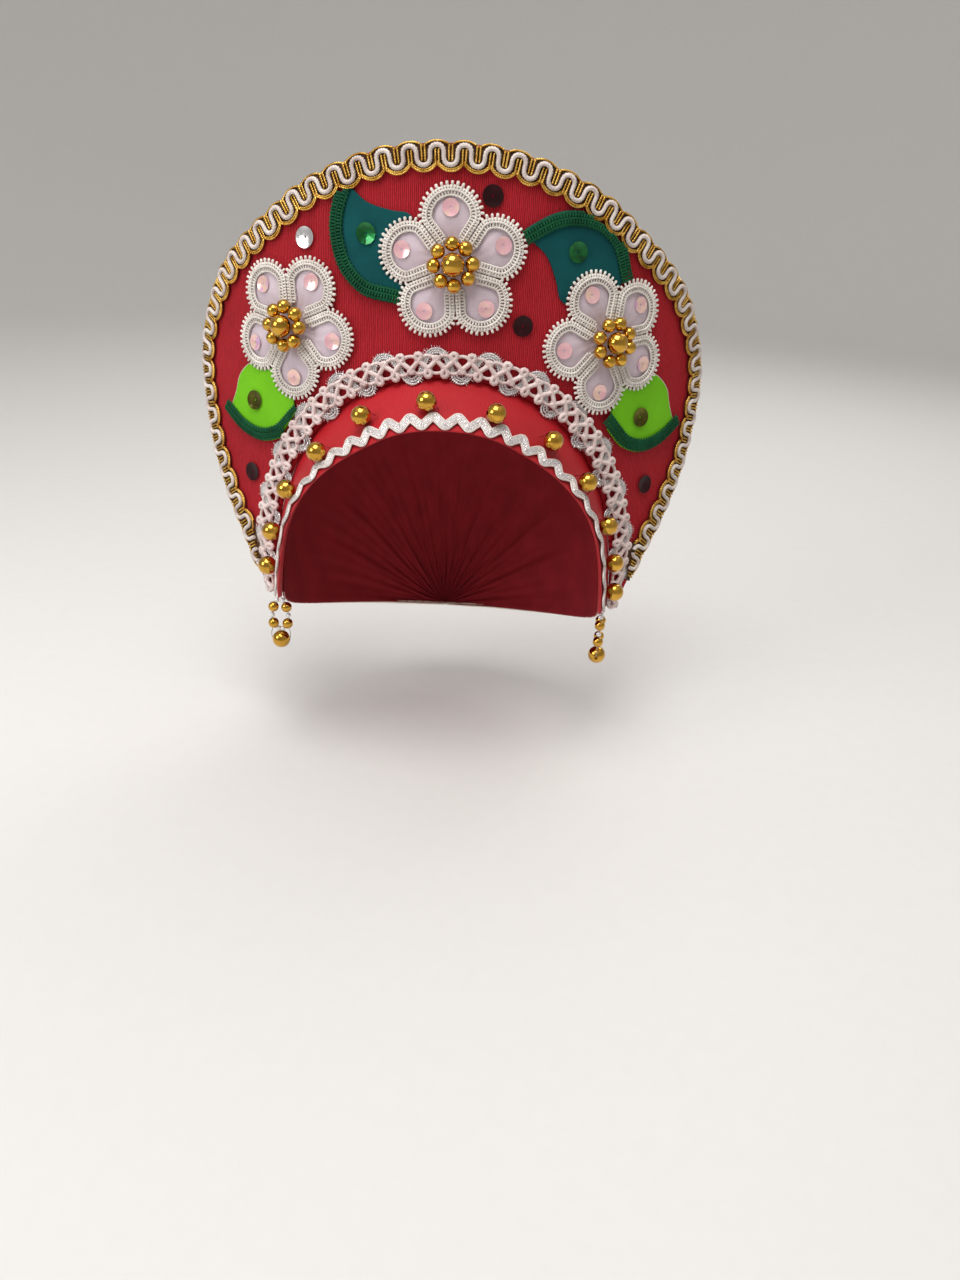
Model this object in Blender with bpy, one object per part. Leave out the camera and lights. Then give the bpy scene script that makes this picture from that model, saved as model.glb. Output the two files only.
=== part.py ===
"""A kokoshnik headdress: a stiff red fan board bent round the head, with a padded headband, braids,
three bead-centred flowers, green leaves, gold beads, sequins, a soft cap behind and a bead loop at each temple.

Metres, +Z up, the front towards -Y. The origin is where the crown of the cap sits on the head.
The board is drawn flat, across and up from the middle of its lower tips, and then bent on a cylinder."""

from math import asin, cos, hypot, pi, radians, sin, sqrt

import bmesh
import bpy
from mathutils import Matrix, Vector

MM = 0.001
GAP = 0.3 * MM  # between pieces that touch

# The board
BOARD_HALF_WIDTH = 156.5 * MM  # measured flat
BOARD_HEIGHT = 228.5 * MM  # from the tips to the top
BOARD_WALL = 3.0 * MM
BEND_RADIUS = 178 * MM
LEAN_BACK = radians(5)
BOARD_EDGE = (  # (across, up) as shares of the board's half width and height
    (0.0, 1.0), (0.23, 0.982), (0.46, 0.925), (0.61, 0.862), (0.74, 0.803), (0.845, 0.744), (0.92, 0.677),
    (0.98, 0.597), (1.0, 0.505), (0.957, 0.355), (0.865, 0.225), (0.77, 0.125), (0.67, 0.0),
)
TIP_WIDTH = 3.4 * MM  # of the board's lower tips
ARCH_HALF_WIDTH = BOARD_HALF_WIDTH * BOARD_EDGE[-1][0] - TIP_WIDTH  # the face arch, measured flat
ARCH_HEIGHT = BOARD_HEIGHT * 0.547
ARCH_FULLNESS = 2.15  # 2 would be an ellipse

# The headband
BAND_DEPTH = 40 * MM
BAND_WALL = 2.5 * MM
BAND_TRIM_GAP = 0.6 * MM  # under the zigzag and the beads, where the headband twists
BAND_SLOPE_TOP = radians(31)  # inwards, from straight ahead
BAND_SLOPE_SIDE = radians(12)
BAND_SLOPE_TURN = (0.25, 0.75)  # where it goes from the one to the other, as shares of the arch from its top
BAND_RISE = 9 * MM  # its front corners, above the board's tips

# The cap
CAP_WALL = 1.6 * MM
CAP_DEPTH = 98 * MM  # behind the board, at the crown
CAP_FRONT = 12 * MM  # how far it comes forward inside the headband
CAP_DROP = 26 * MM  # the nape hem, below the board's tips
CAP_GATHER = 0.035  # the depth of its gathers, as a share of its width there
CAP_GATHERS = 11
CAP_SEAT = radians(12)  # from the board back to where the crown sits on the head

# The braids
EDGE_BRAID_WIDTH = 14 * MM
EDGE_BRAID_THICKNESS = 3.2 * MM
EDGE_BRAID_PERIOD = 12.7 * MM
EDGE_BRAID_SCALLOP = 0.8 * MM
EDGE_BRAID_OVERHANG = 2.5 * MM  # past the board's edge
EDGE_BRAID_END = 0.95  # where it goes under the lace, as a share of the edge from the top
LACE_WIDTH = 14.6 * MM
LACE_THICKNESS = 2.4 * MM
LACE_PERIOD = 24 * MM
LACE_STRAND = 4.5 * MM
LACE_SCALLOP = 1.2 * MM
LACE_SHARE = 0.5  # of the board, where the board is narrow
LACE_PAST = 2 * MM  # and this much more, so past the board's edge at its tips
RIC_RAC_WIDTH = 5.6 * MM
RIC_RAC_THICKNESS = 1.2 * MM
RIC_RAC_PERIOD = 14.7 * MM
RIC_RAC_WAVE = 3.1 * MM  # its crests, from its middle line
RIC_RAC_INSET = 6.3 * MM  # its middle line, from the headband's front edge

# The flowers
FLOWER_RADIUS = BOARD_HALF_WIDTH * 0.23
PETAL_ROUND = FLOWER_RADIUS * 0.417  # the radius of a petal's round end
PETALS = 5
PETAL_CLOTH = 1.0 * MM
FLOWER_CORD_WIDTH = 6.5 * MM
FLOWER_CORD_THICKNESS = 2.2 * MM
FLOWER_HUB = 11.5 * MM  # where the cord's ends meet, under the beads
PETAL_SEQUIN = 8 * MM
PETAL_SEQUIN_CLEAR = 0.5 * MM  # from the cord
PETAL_SEQUIN_PLACE = FLOWER_RADIUS - FLOWER_CORD_WIDTH - PETAL_SEQUIN / 2 - PETAL_SEQUIN_CLEAR
FLOWERS = (  # name, across and up as shares of the board, the turn of the first petal to the left of straight up
    ("left", -0.533, 0.632, radians(41)),
    ("middle", 0.0, 0.775, radians(5)),
    ("right", 0.52, 0.635, radians(29)),
)

# The leaves
LEAF_CLOTH = 1.0 * MM
LEAF_CORD_THICKNESS = 1.8 * MM
UPPER_LEAF = 60 * MM
UPPER_LEAF_CORD = 6.5 * MM
LOWER_LEAF = 52 * MM
LOWER_LEAF_CORD = 6.5 * MM
# A leaf's corded edge and its plain edge, from its tip, as shares of its length: across, up, across, up
UPPER_LEAF_ROWS = (
    (0.0, 0.0, 0.05, 0.01), (-0.067, -0.217, 0.217, -0.133), (-0.067, -0.417, 0.42, -0.19),
    (0.017, -0.65, 0.58, -0.22), (0.2, -0.817, 0.68, -0.4), (0.43, -0.867, 0.7, -0.62),
)
LOWER_LEAF_ROWS = (
    (0.0, 0.0, 0.03, 0.05), (0.19, -0.125, 0.13, 0.22), (0.385, -0.2, 0.22, 0.42),
    (0.58, -0.215, 0.42, 0.56), (0.79, -0.145, 0.66, 0.6), (0.97, 0.02, 0.88, 0.5),
)
LEAVES = (  # name, kind, its tip across and up as shares of the board, turn, side
    ("upper_left", "upper", -0.358, 0.923, 0, 1),
    ("upper_right", "upper", 0.217, 0.853, radians(102), -1),
    ("lower_left", "lower", -0.843, 0.42, 0, 1),
    ("lower_right", "lower", 0.875, 0.438, 0, -1),
)

# The sequins: name, what they lie on, across and up as shares of the board
SEQUIN = 10 * MM
SEQUIN_THICKNESS = 0.6 * MM
SEQUINS = (
    ("silver", "board", -0.479, 0.814),
    ("red_top", "board", 0.109, 0.91),
    ("red_middle", "board", 0.224, 0.661),
    ("red_left", "board", -0.728, 0.289),
    ("red_right", "board", 0.748, 0.306),
    ("upper_left", "leaf", -0.268, 0.827),
    ("upper_right", "leaf", 0.383, 0.814),
    ("lower_left", "leaf", -0.696, 0.46),
    ("lower_right", "leaf", 0.684, 0.468),
)

# The beads
LARGE_BEAD = 10 * MM
SMALL_BEAD = 6 * MM
THREAD = 1.4 * MM
RING_BEADS = 8
RING_BEAD = 6.6 * MM
RING_RADIUS = 9.1 * MM
BEAD_SIDES = 8  # faces round a bead and a thread
BAND_BEADS = (  # their places on the headband, as shares of its half length from the top, sewn on by eye
    -0.905, -0.79, -0.645, -0.48, -0.275, -0.06, 0.155, 0.37, 0.555, 0.715, 0.84, 0.935,
)
DROP_PLACE = 26 * MM  # where a loop leaves the headband's lower end, from the headband's front edge
DROP_TURNS = {"left": radians(0), "right": radians(80)}  # the loop's plane, from facing the front
# Half of a temple loop: (to the side, down) in millimetres, from where it is sewn on
DROP_ROUTE = ((0.0, 0.0), (1.2, 3.0), (3.8, 8.5), (4.6, 13.5), (4.0, 18.0), (1.7, 21.2), (0.0, 22.0))
DROP_BEADS = (0.36, 0.77)  # along half of the loop

NEAR = 0.002  # the share of a line over which its direction is taken
BOARD_STEPS, BAND_STEPS = 36, 30  # faces from one temple to the other; the cap's meet the headband's


def material(name, color, roughness, metallic=0.0):
    made = bpy.data.materials.new(name)
    made.use_nodes = True
    shader = made.node_tree.nodes["Principled BSDF"]
    shader.inputs["Base Color"].default_value = (*color, 1.0)
    shader.inputs["Roughness"].default_value = roughness
    shader.inputs["Metallic"].default_value = metallic
    return made


def finish(name, bm, look, smooth=True):
    """Makes a named object of a bmesh."""
    bmesh.ops.remove_doubles(bm, verts=bm.verts, dist=1e-7)
    bmesh.ops.recalc_face_normals(bm, faces=bm.faces)
    mesh = bpy.data.meshes.new(name)
    bm.to_mesh(mesh)
    bm.free()
    if smooth:
        mesh.shade_smooth()
        mesh.set_sharp_from_angle(angle=radians(35))
    mesh.materials.append(look)
    made = bpy.data.objects.new(name, mesh)
    bpy.context.collection.objects.link(made)
    return made


def sheet(name, top, under, look, wrap=False, keep=lambda i, j: True):
    """A closed sheet between two grids of points, [along][across], with a wall round each part that is left out."""
    bm = bmesh.new()
    count, width = len(top), len(top[0])
    tops = [[bm.verts.new(p) for p in row] for row in top]
    unders = [[bm.verts.new(p) for p in row] for row in under]
    cells = count if wrap else count - 1

    def kept(i, j):
        if wrap:
            i %= cells
        return 0 <= i < cells and 0 <= j < width - 1 and keep(i, j)

    for i in range(cells):
        n = (i + 1) % count
        for j in range(width - 1):
            if not kept(i, j):
                continue
            corners = ((i, j), (n, j), (n, j + 1), (i, j + 1))
            bm.faces.new([tops[a][b] for a, b in corners])
            bm.faces.new([unders[a][b] for a, b in reversed(corners)])
            beyond = ((i, j - 1), (i + 1, j), (i, j + 1), (i - 1, j))
            for k, neighbour in enumerate(beyond):
                if not kept(*neighbour):
                    (a, b), (c, d) = corners[k], corners[(k + 1) % 4]
                    bm.faces.new([tops[a][b], unders[a][b], unders[c][d], tops[c][d]])
    return finish(name, bm, look)


class Rail:
    """A line drawn flat on the board from its middle to the right, mirrored to the left."""

    def __init__(self, half):
        self.points = half
        self.far = [0.0]
        for a, b in zip(half, half[1:]):
            self.far.append(self.far[-1] + hypot(b[0] - a[0], b[1] - a[1]))
        self.half_length = self.far[-1]

    def at(self, share):
        """The point at a share of the half length, -1 to 1, and the direction outwards there."""
        want = min(abs(share), 1.0) * self.half_length
        k = next(i for i in range(1, len(self.far)) if self.far[i] >= want - 1e-12)
        a, b = self.points[k - 1], self.points[k]
        part = (want - self.far[k - 1]) / (self.far[k] - self.far[k - 1])
        run = self.far[k] - self.far[k - 1]
        side = -1 if share < 0 else 1
        normal = (side * (a[1] - b[1]) / run, (b[0] - a[0]) / run)
        return side * (a[0] + (b[0] - a[0]) * part), a[1] + (b[1] - a[1]) * part, normal

    def beside(self, share, out):
        across, up, normal = self.at(share)
        return across + normal[0] * out, up + normal[1] * out

    def across_at(self, up):
        """How far to the side the line is at a height, looked for from its lower end."""
        for (a, b), (c, d) in zip(self.points[::-1], self.points[-2::-1]):
            if b <= up <= d:
                return a + (c - a) * (up - b) / max(d - b, 1e-9)
        return self.points[-1][0]


def smooth_line(rows, steps=16):
    """A Catmull-Rom curve through the rows, level at the first."""
    rows = [(-rows[1][0], rows[1][1])] + list(rows)
    rows.append((2 * rows[-1][0] - rows[-2][0], 2 * rows[-1][1] - rows[-2][1]))
    line = []
    for a, b, c, d in zip(rows, rows[1:], rows[2:], rows[3:]):
        for k in range(steps):
            t = k / steps
            line.append(
                tuple(
                    b[n]
                    + t * (c[n] - a[n]) / 2
                    + t * t * (2 * a[n] - 5 * b[n] + 4 * c[n] - d[n]) / 2
                    + t * t * t * (3 * b[n] - a[n] - 3 * c[n] + d[n]) / 2
                    for n in (0, 1)
                )
            )
    return line + [rows[-2]]


def arch_line(steps=160):
    power = 2 / ARCH_FULLNESS
    return [
        (ARCH_HALF_WIDTH * sin(t) ** power, ARCH_HEIGHT * cos(t) ** power if k < steps else 0.0)
        for k in range(steps + 1)
        for t in [pi / 2 * k / steps]
    ]


ARCH = Rail(arch_line())
EDGE = Rail(smooth_line([(BOARD_HALF_WIDTH * a, BOARD_HEIGHT * b) for a, b in BOARD_EDGE]))
TILT = Matrix.Rotation(-LEAN_BACK, 3, "X")


def bent(across, up, height=0.0):
    """A flat place on the board, bent round the cylinder, before the board leans back."""
    turn, radius = across / BEND_RADIUS, BEND_RADIUS + height
    return Vector((radius * sin(turn), BEND_RADIUS - radius * cos(turn), up))


def band_start(share):
    """Where the headband starts at the board, and its direction ahead there."""
    start = bent(*ARCH.beside(share, -GAP), -BOARD_WALL)
    a, b = (bent(*ARCH.at(max(-1, min(1, share + d)))[:2], -BOARD_WALL) for d in (-NEAR, NEAR))
    inward = Vector((b.z - a.z, 0, a.x - b.x)).normalized()
    low, high = BAND_SLOPE_TURN
    side = max(0.0, min(1.0, (abs(share) - low) / (high - low)))
    slope = BAND_SLOPE_TOP + (BAND_SLOPE_SIDE - BAND_SLOPE_TOP) * side * side * (3 - 2 * side)
    return start, Vector((0, -cos(slope), 0)) + inward * sin(slope)


def band_face(share, forward):
    """A point on the headband's outer face, which runs straight from the board to its front edge."""
    start, _ = band_start(share)
    front, ahead = band_start(share * (1 - BAND_RISE / ARCH.half_length))
    return start.lerp(front + ahead * BAND_DEPTH, forward / BAND_DEPTH)


def band_local(share, forward, height):
    """A place on the headband: forward from its rear edge, and height above its outer face."""
    a, b = (band_face(max(-1, min(1, share + d)), forward) for d in (-NEAR, NEAR))
    straight = band_face(share, BAND_DEPTH) - band_face(share, 0)
    return band_face(share, forward) + straight.cross(b - a).normalized() * height


def cap_local(share, turn, height):
    """A place on the cap: turn is 0 at the board and a right angle at the nape."""
    start = band_local(share, 0, -BAND_WALL - GAP + height)
    if turn <= 0:
        return start
    deep = CAP_DEPTH + height
    fold = 1 + CAP_GATHER * sin(turn) ** 3 * cos(share * pi * CAP_GATHERS)
    narrow = cos(turn) * fold
    back = start.y + (deep - start.y) * sin(turn)
    drop = CAP_DROP * sqrt(sin(turn)) * (share**2 + (1 - share**2) * sin(turn) ** 4)
    return Vector((start.x * narrow, back, start.z * narrow - drop))


SEAT = TILT @ cap_local(0, CAP_SEAT, -CAP_WALL)


def place(local):
    return TILT @ local - SEAT


def on_board(across, up, height=0.0):
    return place(bent(across, up, height))


def board_frame(across, up):
    """The directions across, up and outwards at a place on the board."""
    turn = across / BEND_RADIUS
    return Matrix(
        [TILT @ Vector((cos(turn), sin(turn), 0)), TILT @ Vector((0, 0, 1)), TILT @ Vector((sin(turn), -cos(turn), 0))]
    ).transposed()


def spot(across, up):
    """A flat place on the board, from shares of its half width and height."""
    return across * BOARD_HALF_WIDTH, up * BOARD_HEIGHT


def steps(count, low=-1.0, high=1.0):
    return [low + (high - low) * k / count for k in range(count + 1)]


def even(length, period):
    """The whole number of periods that comes nearest to a length."""
    return max(1, round(length / period))


def make_board(look):
    def face(height):
        rows = []
        for share in steps(BOARD_STEPS):
            (a, b), (c, d) = ARCH.at(share)[:2], EDGE.at(share)[:2]
            rows.append([on_board(a + (c - a) * t, b + (d - b) * t, height) for t in steps(3, 0, 1)])
        return rows

    return sheet("fan_board", face(0), face(-BOARD_WALL), look)


def make_headband(look):
    rows = (0, CAP_FRONT, (CAP_FRONT + BAND_DEPTH) / 2, BAND_DEPTH)

    def face(height):
        return [[place(band_local(share, w, height)) for w in rows] for share in steps(BAND_STEPS)]

    return sheet("headband", face(0), face(-BAND_WALL), look)


def make_cap(look):
    def face(height):
        rows = []
        for share in steps(BAND_STEPS):
            front = place(band_local(share, CAP_FRONT, height - BAND_WALL - GAP))
            back = [place(cap_local(share, turn, height)) for turn in steps(5, 0, pi / 2)]
            rows.append([front] + back)
        return rows

    return sheet("cap", face(0), face(-CAP_WALL), look)


def edge_rows(height, spare=0.0):
    middle = EDGE_BRAID_OVERHANG - EDGE_BRAID_WIDTH / 2
    half = EDGE_BRAID_WIDTH / 2 - EDGE_BRAID_SCALLOP
    waves = even(2 * EDGE.half_length * EDGE_BRAID_END, EDGE_BRAID_PERIOD)
    rows = []
    for k, share in enumerate(steps(2 * waves, -EDGE_BRAID_END, EDGE_BRAID_END)):
        reach = half + (EDGE_BRAID_SCALLOP if k % 2 else -EDGE_BRAID_SCALLOP) + spare
        rows.append([on_board(*EDGE.beside(share, middle + w), height) for w in (-reach, reach)])
    return rows


def make_edge_braid(look, cutter):
    braid = sheet("edge_braid", edge_rows(GAP + EDGE_BRAID_THICKNESS), edge_rows(GAP), look)
    boolean(braid, cutter, "DIFFERENCE")


def lace_rows(height, spare=0.0):
    waves = even(2 * ARCH.half_length, LACE_PERIOD)
    rows = []
    for k, share in enumerate(steps(3 * waves)):
        scallop = 0 if k % 3 == 1 else LACE_SCALLOP
        across, up, _ = ARCH.at(share)
        outer = min(GAP + LACE_WIDTH - scallop, (EDGE.across_at(up) - abs(across)) * LACE_SHARE + LACE_PAST)
        strand = min(LACE_STRAND, (outer - GAP) / 3)
        lines = (GAP - spare, GAP + strand, outer - strand, outer + spare)
        rows.append([on_board(*ARCH.beside(share, w), height) for w in lines])
    return rows


def make_lace(look, cutters):
    lace = sheet(
        "lace_trim", lace_rows(GAP + LACE_THICKNESS), lace_rows(GAP), look, keep=lambda i, j: j != 1 or i % 3 == 0
    )
    for cutter in cutters:
        boolean(lace, cutter, "DIFFERENCE")


def make_ric_rac(look):
    waves = even(2 * ARCH.half_length, RIC_RAC_PERIOD)
    middle = BAND_DEPTH - RIC_RAC_INSET

    def face(height):
        rows = []
        for k, share in enumerate(steps(2 * waves)):
            wave = middle + (RIC_RAC_WAVE if k % 2 else -RIC_RAC_WAVE)
            sides = (wave - RIC_RAC_WIDTH / 2, wave + RIC_RAC_WIDTH / 2)
            rows.append([place(band_local(share, w, height)) for w in sides])
        return rows

    return sheet("ric_rac", face(BAND_TRIM_GAP + RIC_RAC_THICKNESS), face(BAND_TRIM_GAP), look)


def lobe(angle, rounding):
    """How far from the flower's middle a round petal end of this radius reaches, at an angle off its axis."""
    middle = FLOWER_RADIUS - PETAL_ROUND
    return middle * cos(angle) + sqrt(max(0.0, rounding**2 - (middle * sin(angle)) ** 2))


PETAL_OPENING = PETAL_ROUND - FLOWER_CORD_WIDTH
OPENING_TURN = 0.93 * asin(min(0.99, PETAL_OPENING / (FLOWER_RADIUS - PETAL_ROUND)))
VALLEY = pi / PETALS
PETAL_COLUMNS = (
    -VALLEY, -(VALLEY + OPENING_TURN) / 2, -OPENING_TURN, -OPENING_TURN / 2, 0.0,
    OPENING_TURN / 2, OPENING_TURN, (VALLEY + OPENING_TURN) / 2,
)
FIRST_OPEN, LAST_OPEN = 2, 5


def flower_rows(flower, height, radii):
    """Rings of points round a flower: radii gives those of one column from its angle off the petal's axis."""
    turn = flower[3]
    across, up = spot(*flower[1:3])
    rows = []
    for petal in range(PETALS):
        for angle in PETAL_COLUMNS:
            way = turn - 2 * VALLEY * petal - angle
            rows.append([on_board(across - r * sin(way), up + r * cos(way), height) for r in radii(angle)])
    return rows


def flat_disc(bm, across, up, radius, low, high, sides):
    """A flat round piece that lies on the board's face."""
    frame = board_frame(across, up)
    rings = [
        [
            bm.verts.new(on_board(across, up, h) + frame @ Vector((radius * cos(a), radius * sin(a), 0)))
            for k in range(sides)
            for a in [2 * pi * k / sides]
        ]
        for h in (low, high)
    ]
    bm.faces.new(rings[0][::-1])
    bm.faces.new(rings[1])
    for k in range(sides):
        n = (k + 1) % sides
        bm.faces.new([rings[0][k], rings[0][n], rings[1][n], rings[1][k]])


def boolean(target, other, operation):
    """Cuts or joins with a helper that stays out of the model."""
    other.hide_render = True
    other.display_type = "WIRE"
    change = target.modifiers.new(operation.lower(), "BOOLEAN")
    change.operation = operation
    change.object = other
    change.solver = "EXACT"


CORD_UNDER = GAP + PETAL_CLOTH + GAP
CORD_TOP = CORD_UNDER + FLOWER_CORD_THICKNESS


def make_petals(flower, look):
    """The petals' cloth, with a sequin sewn flat on each."""

    def radii(angle):
        reach = lobe(angle, PETAL_ROUND - FLOWER_CORD_WIDTH / 3)
        return 0.0, reach / 2, reach

    name, turn = flower[0], flower[3]
    across, up = spot(*flower[1:3])
    top = GAP + PETAL_CLOTH
    petals = sheet(f"petals_{name}", flower_rows(flower, top, radii), flower_rows(flower, GAP, radii), look, wrap=True)
    bm = bmesh.new()
    for petal in range(PETALS):
        way = turn - 2 * VALLEY * petal
        there = (across - PETAL_SEQUIN_PLACE * sin(way), up + PETAL_SEQUIN_PLACE * cos(way))
        flat_disc(bm, *there, PETAL_SEQUIN / 2, top - PETAL_CLOTH / 2, top + SEQUIN_THICKNESS, 8)
    boolean(petals, finish(f"petal_sequins_{name}", bm, look), "UNION")
    return petals


def make_flower_cord(flower, look):
    def radii(angle):
        start = FLOWER_HUB + (FLOWER_RADIUS - PETAL_ROUND - FLOWER_HUB) * (abs(angle) / VALLEY) ** 2
        return 0.0, start, max(start + GAP, lobe(angle, PETAL_OPENING)), lobe(angle, PETAL_ROUND)

    def keep(i, j):
        return j != 1 or not FIRST_OPEN <= i % len(PETAL_COLUMNS) <= LAST_OPEN

    rows = [flower_rows(flower, h, radii) for h in (CORD_TOP, CORD_UNDER)]
    return sheet(f"petal_cord_{flower[0]}", *rows, look, wrap=True, keep=keep)


def flower_cutter(flower, look):
    """A block of the flower's outline and a gap, through all that lies on the board."""

    def radii(angle):
        return 0.0, lobe(angle, PETAL_ROUND) + 2 * GAP

    rows = [flower_rows(flower, h, radii) for h in (2 * CORD_TOP, -CORD_TOP)]
    return sheet(f"flower_cutter_{flower[0]}", *rows, look, wrap=True)


def braid_cutter(name, rows_at, look):
    """A block of a braid's outline and a gap, through all that lies on the board."""
    rows = [[[row[0], row[-1]] for row in rows_at(h, 2 * GAP)] for h in (2 * CORD_TOP, -CORD_TOP)]
    return sheet(name, *rows, look)


def tube(name, middles, radii, look, sides=BEAD_SIDES, closed=False):
    """A round tube through points, with its own radius at each: beads on a thread are one such tube."""
    bm = bmesh.new()
    count = len(middles)
    centre = sum(middles, Vector()) / count
    spin = sum(((a - centre).cross(b - centre) for a, b in zip(middles, middles[1:])), Vector()).normalized()
    rings = []
    for k, middle in enumerate(middles):
        before = middles[k - 1] if k or closed else middle
        after = middles[(k + 1) % count] if k < count - 1 or closed else middle
        side = (after - before).normalized().cross(spin).normalized()
        rings.append(
            [
                bm.verts.new(middle + (side * cos(a) + spin * sin(a)) * radii[k])
                for n in range(sides)
                for a in [2 * pi * n / sides]
            ]
        )
    for k in range(count if closed else count - 1):
        a, b = rings[k], rings[(k + 1) % count]
        for n in range(sides):
            m = (n + 1) % sides
            bm.faces.new([a[n], a[m], b[m], b[n]])
    if not closed:
        bm.faces.new(rings[0])
        bm.faces.new(rings[-1][::-1])
    return finish(name, bm, look)


BEAD_PROFILE = ((-0.46, 0.93), (0.46, 0.93))  # along and across, as shares of the bead's radius
BEAD_END = 0.97  # where the thread comes out


def bead_stations(middle, unit, size=SMALL_BEAD):
    """A bead's places along a thread, in units of this length, and its radius at each."""
    half = size / 2
    ends = ((-BEAD_END, THREAD / 2 / half), *BEAD_PROFILE, (BEAD_END, THREAD / 2 / half))
    return [(middle + a * half / unit, r * half) for a, r in ends]


def make_bead_ring(flower, look):
    name, turn = flower[0], flower[3]
    across, up = spot(*flower[1:3])
    middles, radii = [], []
    frame, centre = board_frame(across, up), on_board(across, up, CORD_TOP + GAP + RING_BEAD / 2)
    for k in range(RING_BEADS):
        bead = turn + 2 * pi * k / RING_BEADS
        for swing, radius in bead_stations(0.0, RING_RADIUS, RING_BEAD):
            a = bead + swing
            middles.append(centre + frame @ Vector((-sin(a) * RING_RADIUS, cos(a) * RING_RADIUS, 0)))
            radii.append(radius)
    return tube(f"bead_ring_{name}", middles, radii, look, closed=True)


def make_bead(name, middle, size, look):
    bm = bmesh.new()
    bmesh.ops.create_uvsphere(bm, u_segments=BEAD_SIDES, v_segments=6, radius=size / 2)
    bead = finish(name, bm, look)
    bead.data.shade_smooth()
    bead.location = middle
    return bead


def bead_inset(share):
    """How far back from the headband's front edge a bead clears the zigzag there, in a hollow or by a crest."""
    low = min(RIC_RAC_THICKNESS, LARGE_BEAD / 2)
    clear = sqrt(low * (LARGE_BEAD - low)) + BAND_TRIM_GAP
    waves = even(2 * ARCH.half_length, RIC_RAC_PERIOD)
    insets = []
    for aside in steps(16):
        turn = (share + aside * clear / ARCH.half_length + 1) * waves
        wave = RIC_RAC_WAVE * (1 - 2 * abs(turn % 2 - 1))
        insets.append(RIC_RAC_INSET - wave + RIC_RAC_WIDTH / 2 + clear * sqrt(1 - aside**2))
    return max(insets)


def make_band_beads(look):
    rise = BAND_TRIM_GAP + LARGE_BEAD / 2
    for k, share in enumerate(BAND_BEADS):
        middle = place(band_local(share, BAND_DEPTH - bead_inset(share), rise))
        make_bead(f"band_bead_{k + 1:02d}", middle, LARGE_BEAD, look)


def leaf_sides(leaf):
    """The corded edge and the plain edge of a leaf, flat on the board."""
    _, kind, *tip, turn, side = leaf
    across, up = spot(*tip)
    size, rows ={"upper": (UPPER_LEAF, UPPER_LEAF_ROWS), "lower": (LOWER_LEAF, LOWER_LEAF_ROWS)}[kind]

    def turned(a, b):
        a *= side
        return across + size * (a * cos(turn) - b * sin(turn)), up + size * (a * sin(turn) + b * cos(turn))

    return [turned(*row[:2]) for row in rows], [turned(*row[2:]) for row in rows]


def eased(points, parts=2):
    """A Catmull-Rom curve through flat points."""
    points = [points[0]] + list(points) + [points[-1]]
    line = []
    for a, b, c, d in zip(points, points[1:], points[2:], points[3:]):
        for k in range(parts):
            t = k / parts
            line.append(
                tuple(
                    b[n]
                    + t * (c[n] - a[n]) / 2
                    + t * t * (2 * a[n] - 5 * b[n] + 4 * c[n] - d[n]) / 2
                    + t * t * t * (3 * b[n] - a[n] - 3 * c[n] + d[n]) / 2
                    for n in (0, 1)
                )
            )
    return line + [points[-2]]


def make_leaf(leaf, cloth, cord, cutters):
    name, kind, side = leaf[0], leaf[1], leaf[5]
    width = {"upper": UPPER_LEAF_CORD, "lower": LOWER_LEAF_CORD}[kind]
    corded, plain = (eased(line) for line in leaf_sides(leaf))

    def cloth_face(height):
        return [
            [on_board(a[0] + (b[0] - a[0]) * t, a[1] + (b[1] - a[1]) * t, height) for t in steps(3, 0, 1)]
            for a, b in zip(corded, plain)
        ]

    def cord_face(height):
        rows = []
        for k, (x, y) in enumerate(corded):
            before, after = corded[max(0, k - 1)], corded[min(len(corded) - 1, k + 1)]
            run = hypot(after[0] - before[0], after[1] - before[1])
            inward = (-side * (after[1] - before[1]) / run, side * (after[0] - before[0]) / run)
            rows.append([on_board(x + inward[0] * w, y + inward[1] * w, height) for w in (0, width)])
        return rows

    low = GAP + LEAF_CLOTH
    pieces = (
        sheet(f"leaf_{name}", cloth_face(low), cloth_face(GAP), cloth),
        sheet(f"leaf_cord_{name}", cord_face(low + GAP + LEAF_CORD_THICKNESS), cord_face(low + GAP), cord),
    )
    for piece in pieces:
        for cutter in cutters:
            boolean(piece, cutter, "DIFFERENCE")


def make_sequins(looks):
    for name, carrier, across, up in SEQUINS:
        low = GAP if carrier == "board" else GAP + LEAF_CLOTH + GAP
        bm = bmesh.new()
        flat_disc(bm, *spot(across, up), SEQUIN / 2, low, low + SEQUIN_THICKNESS, 10)
        finish(f"sequin_{name}", bm, looks[name.split("_")[0]])


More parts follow.
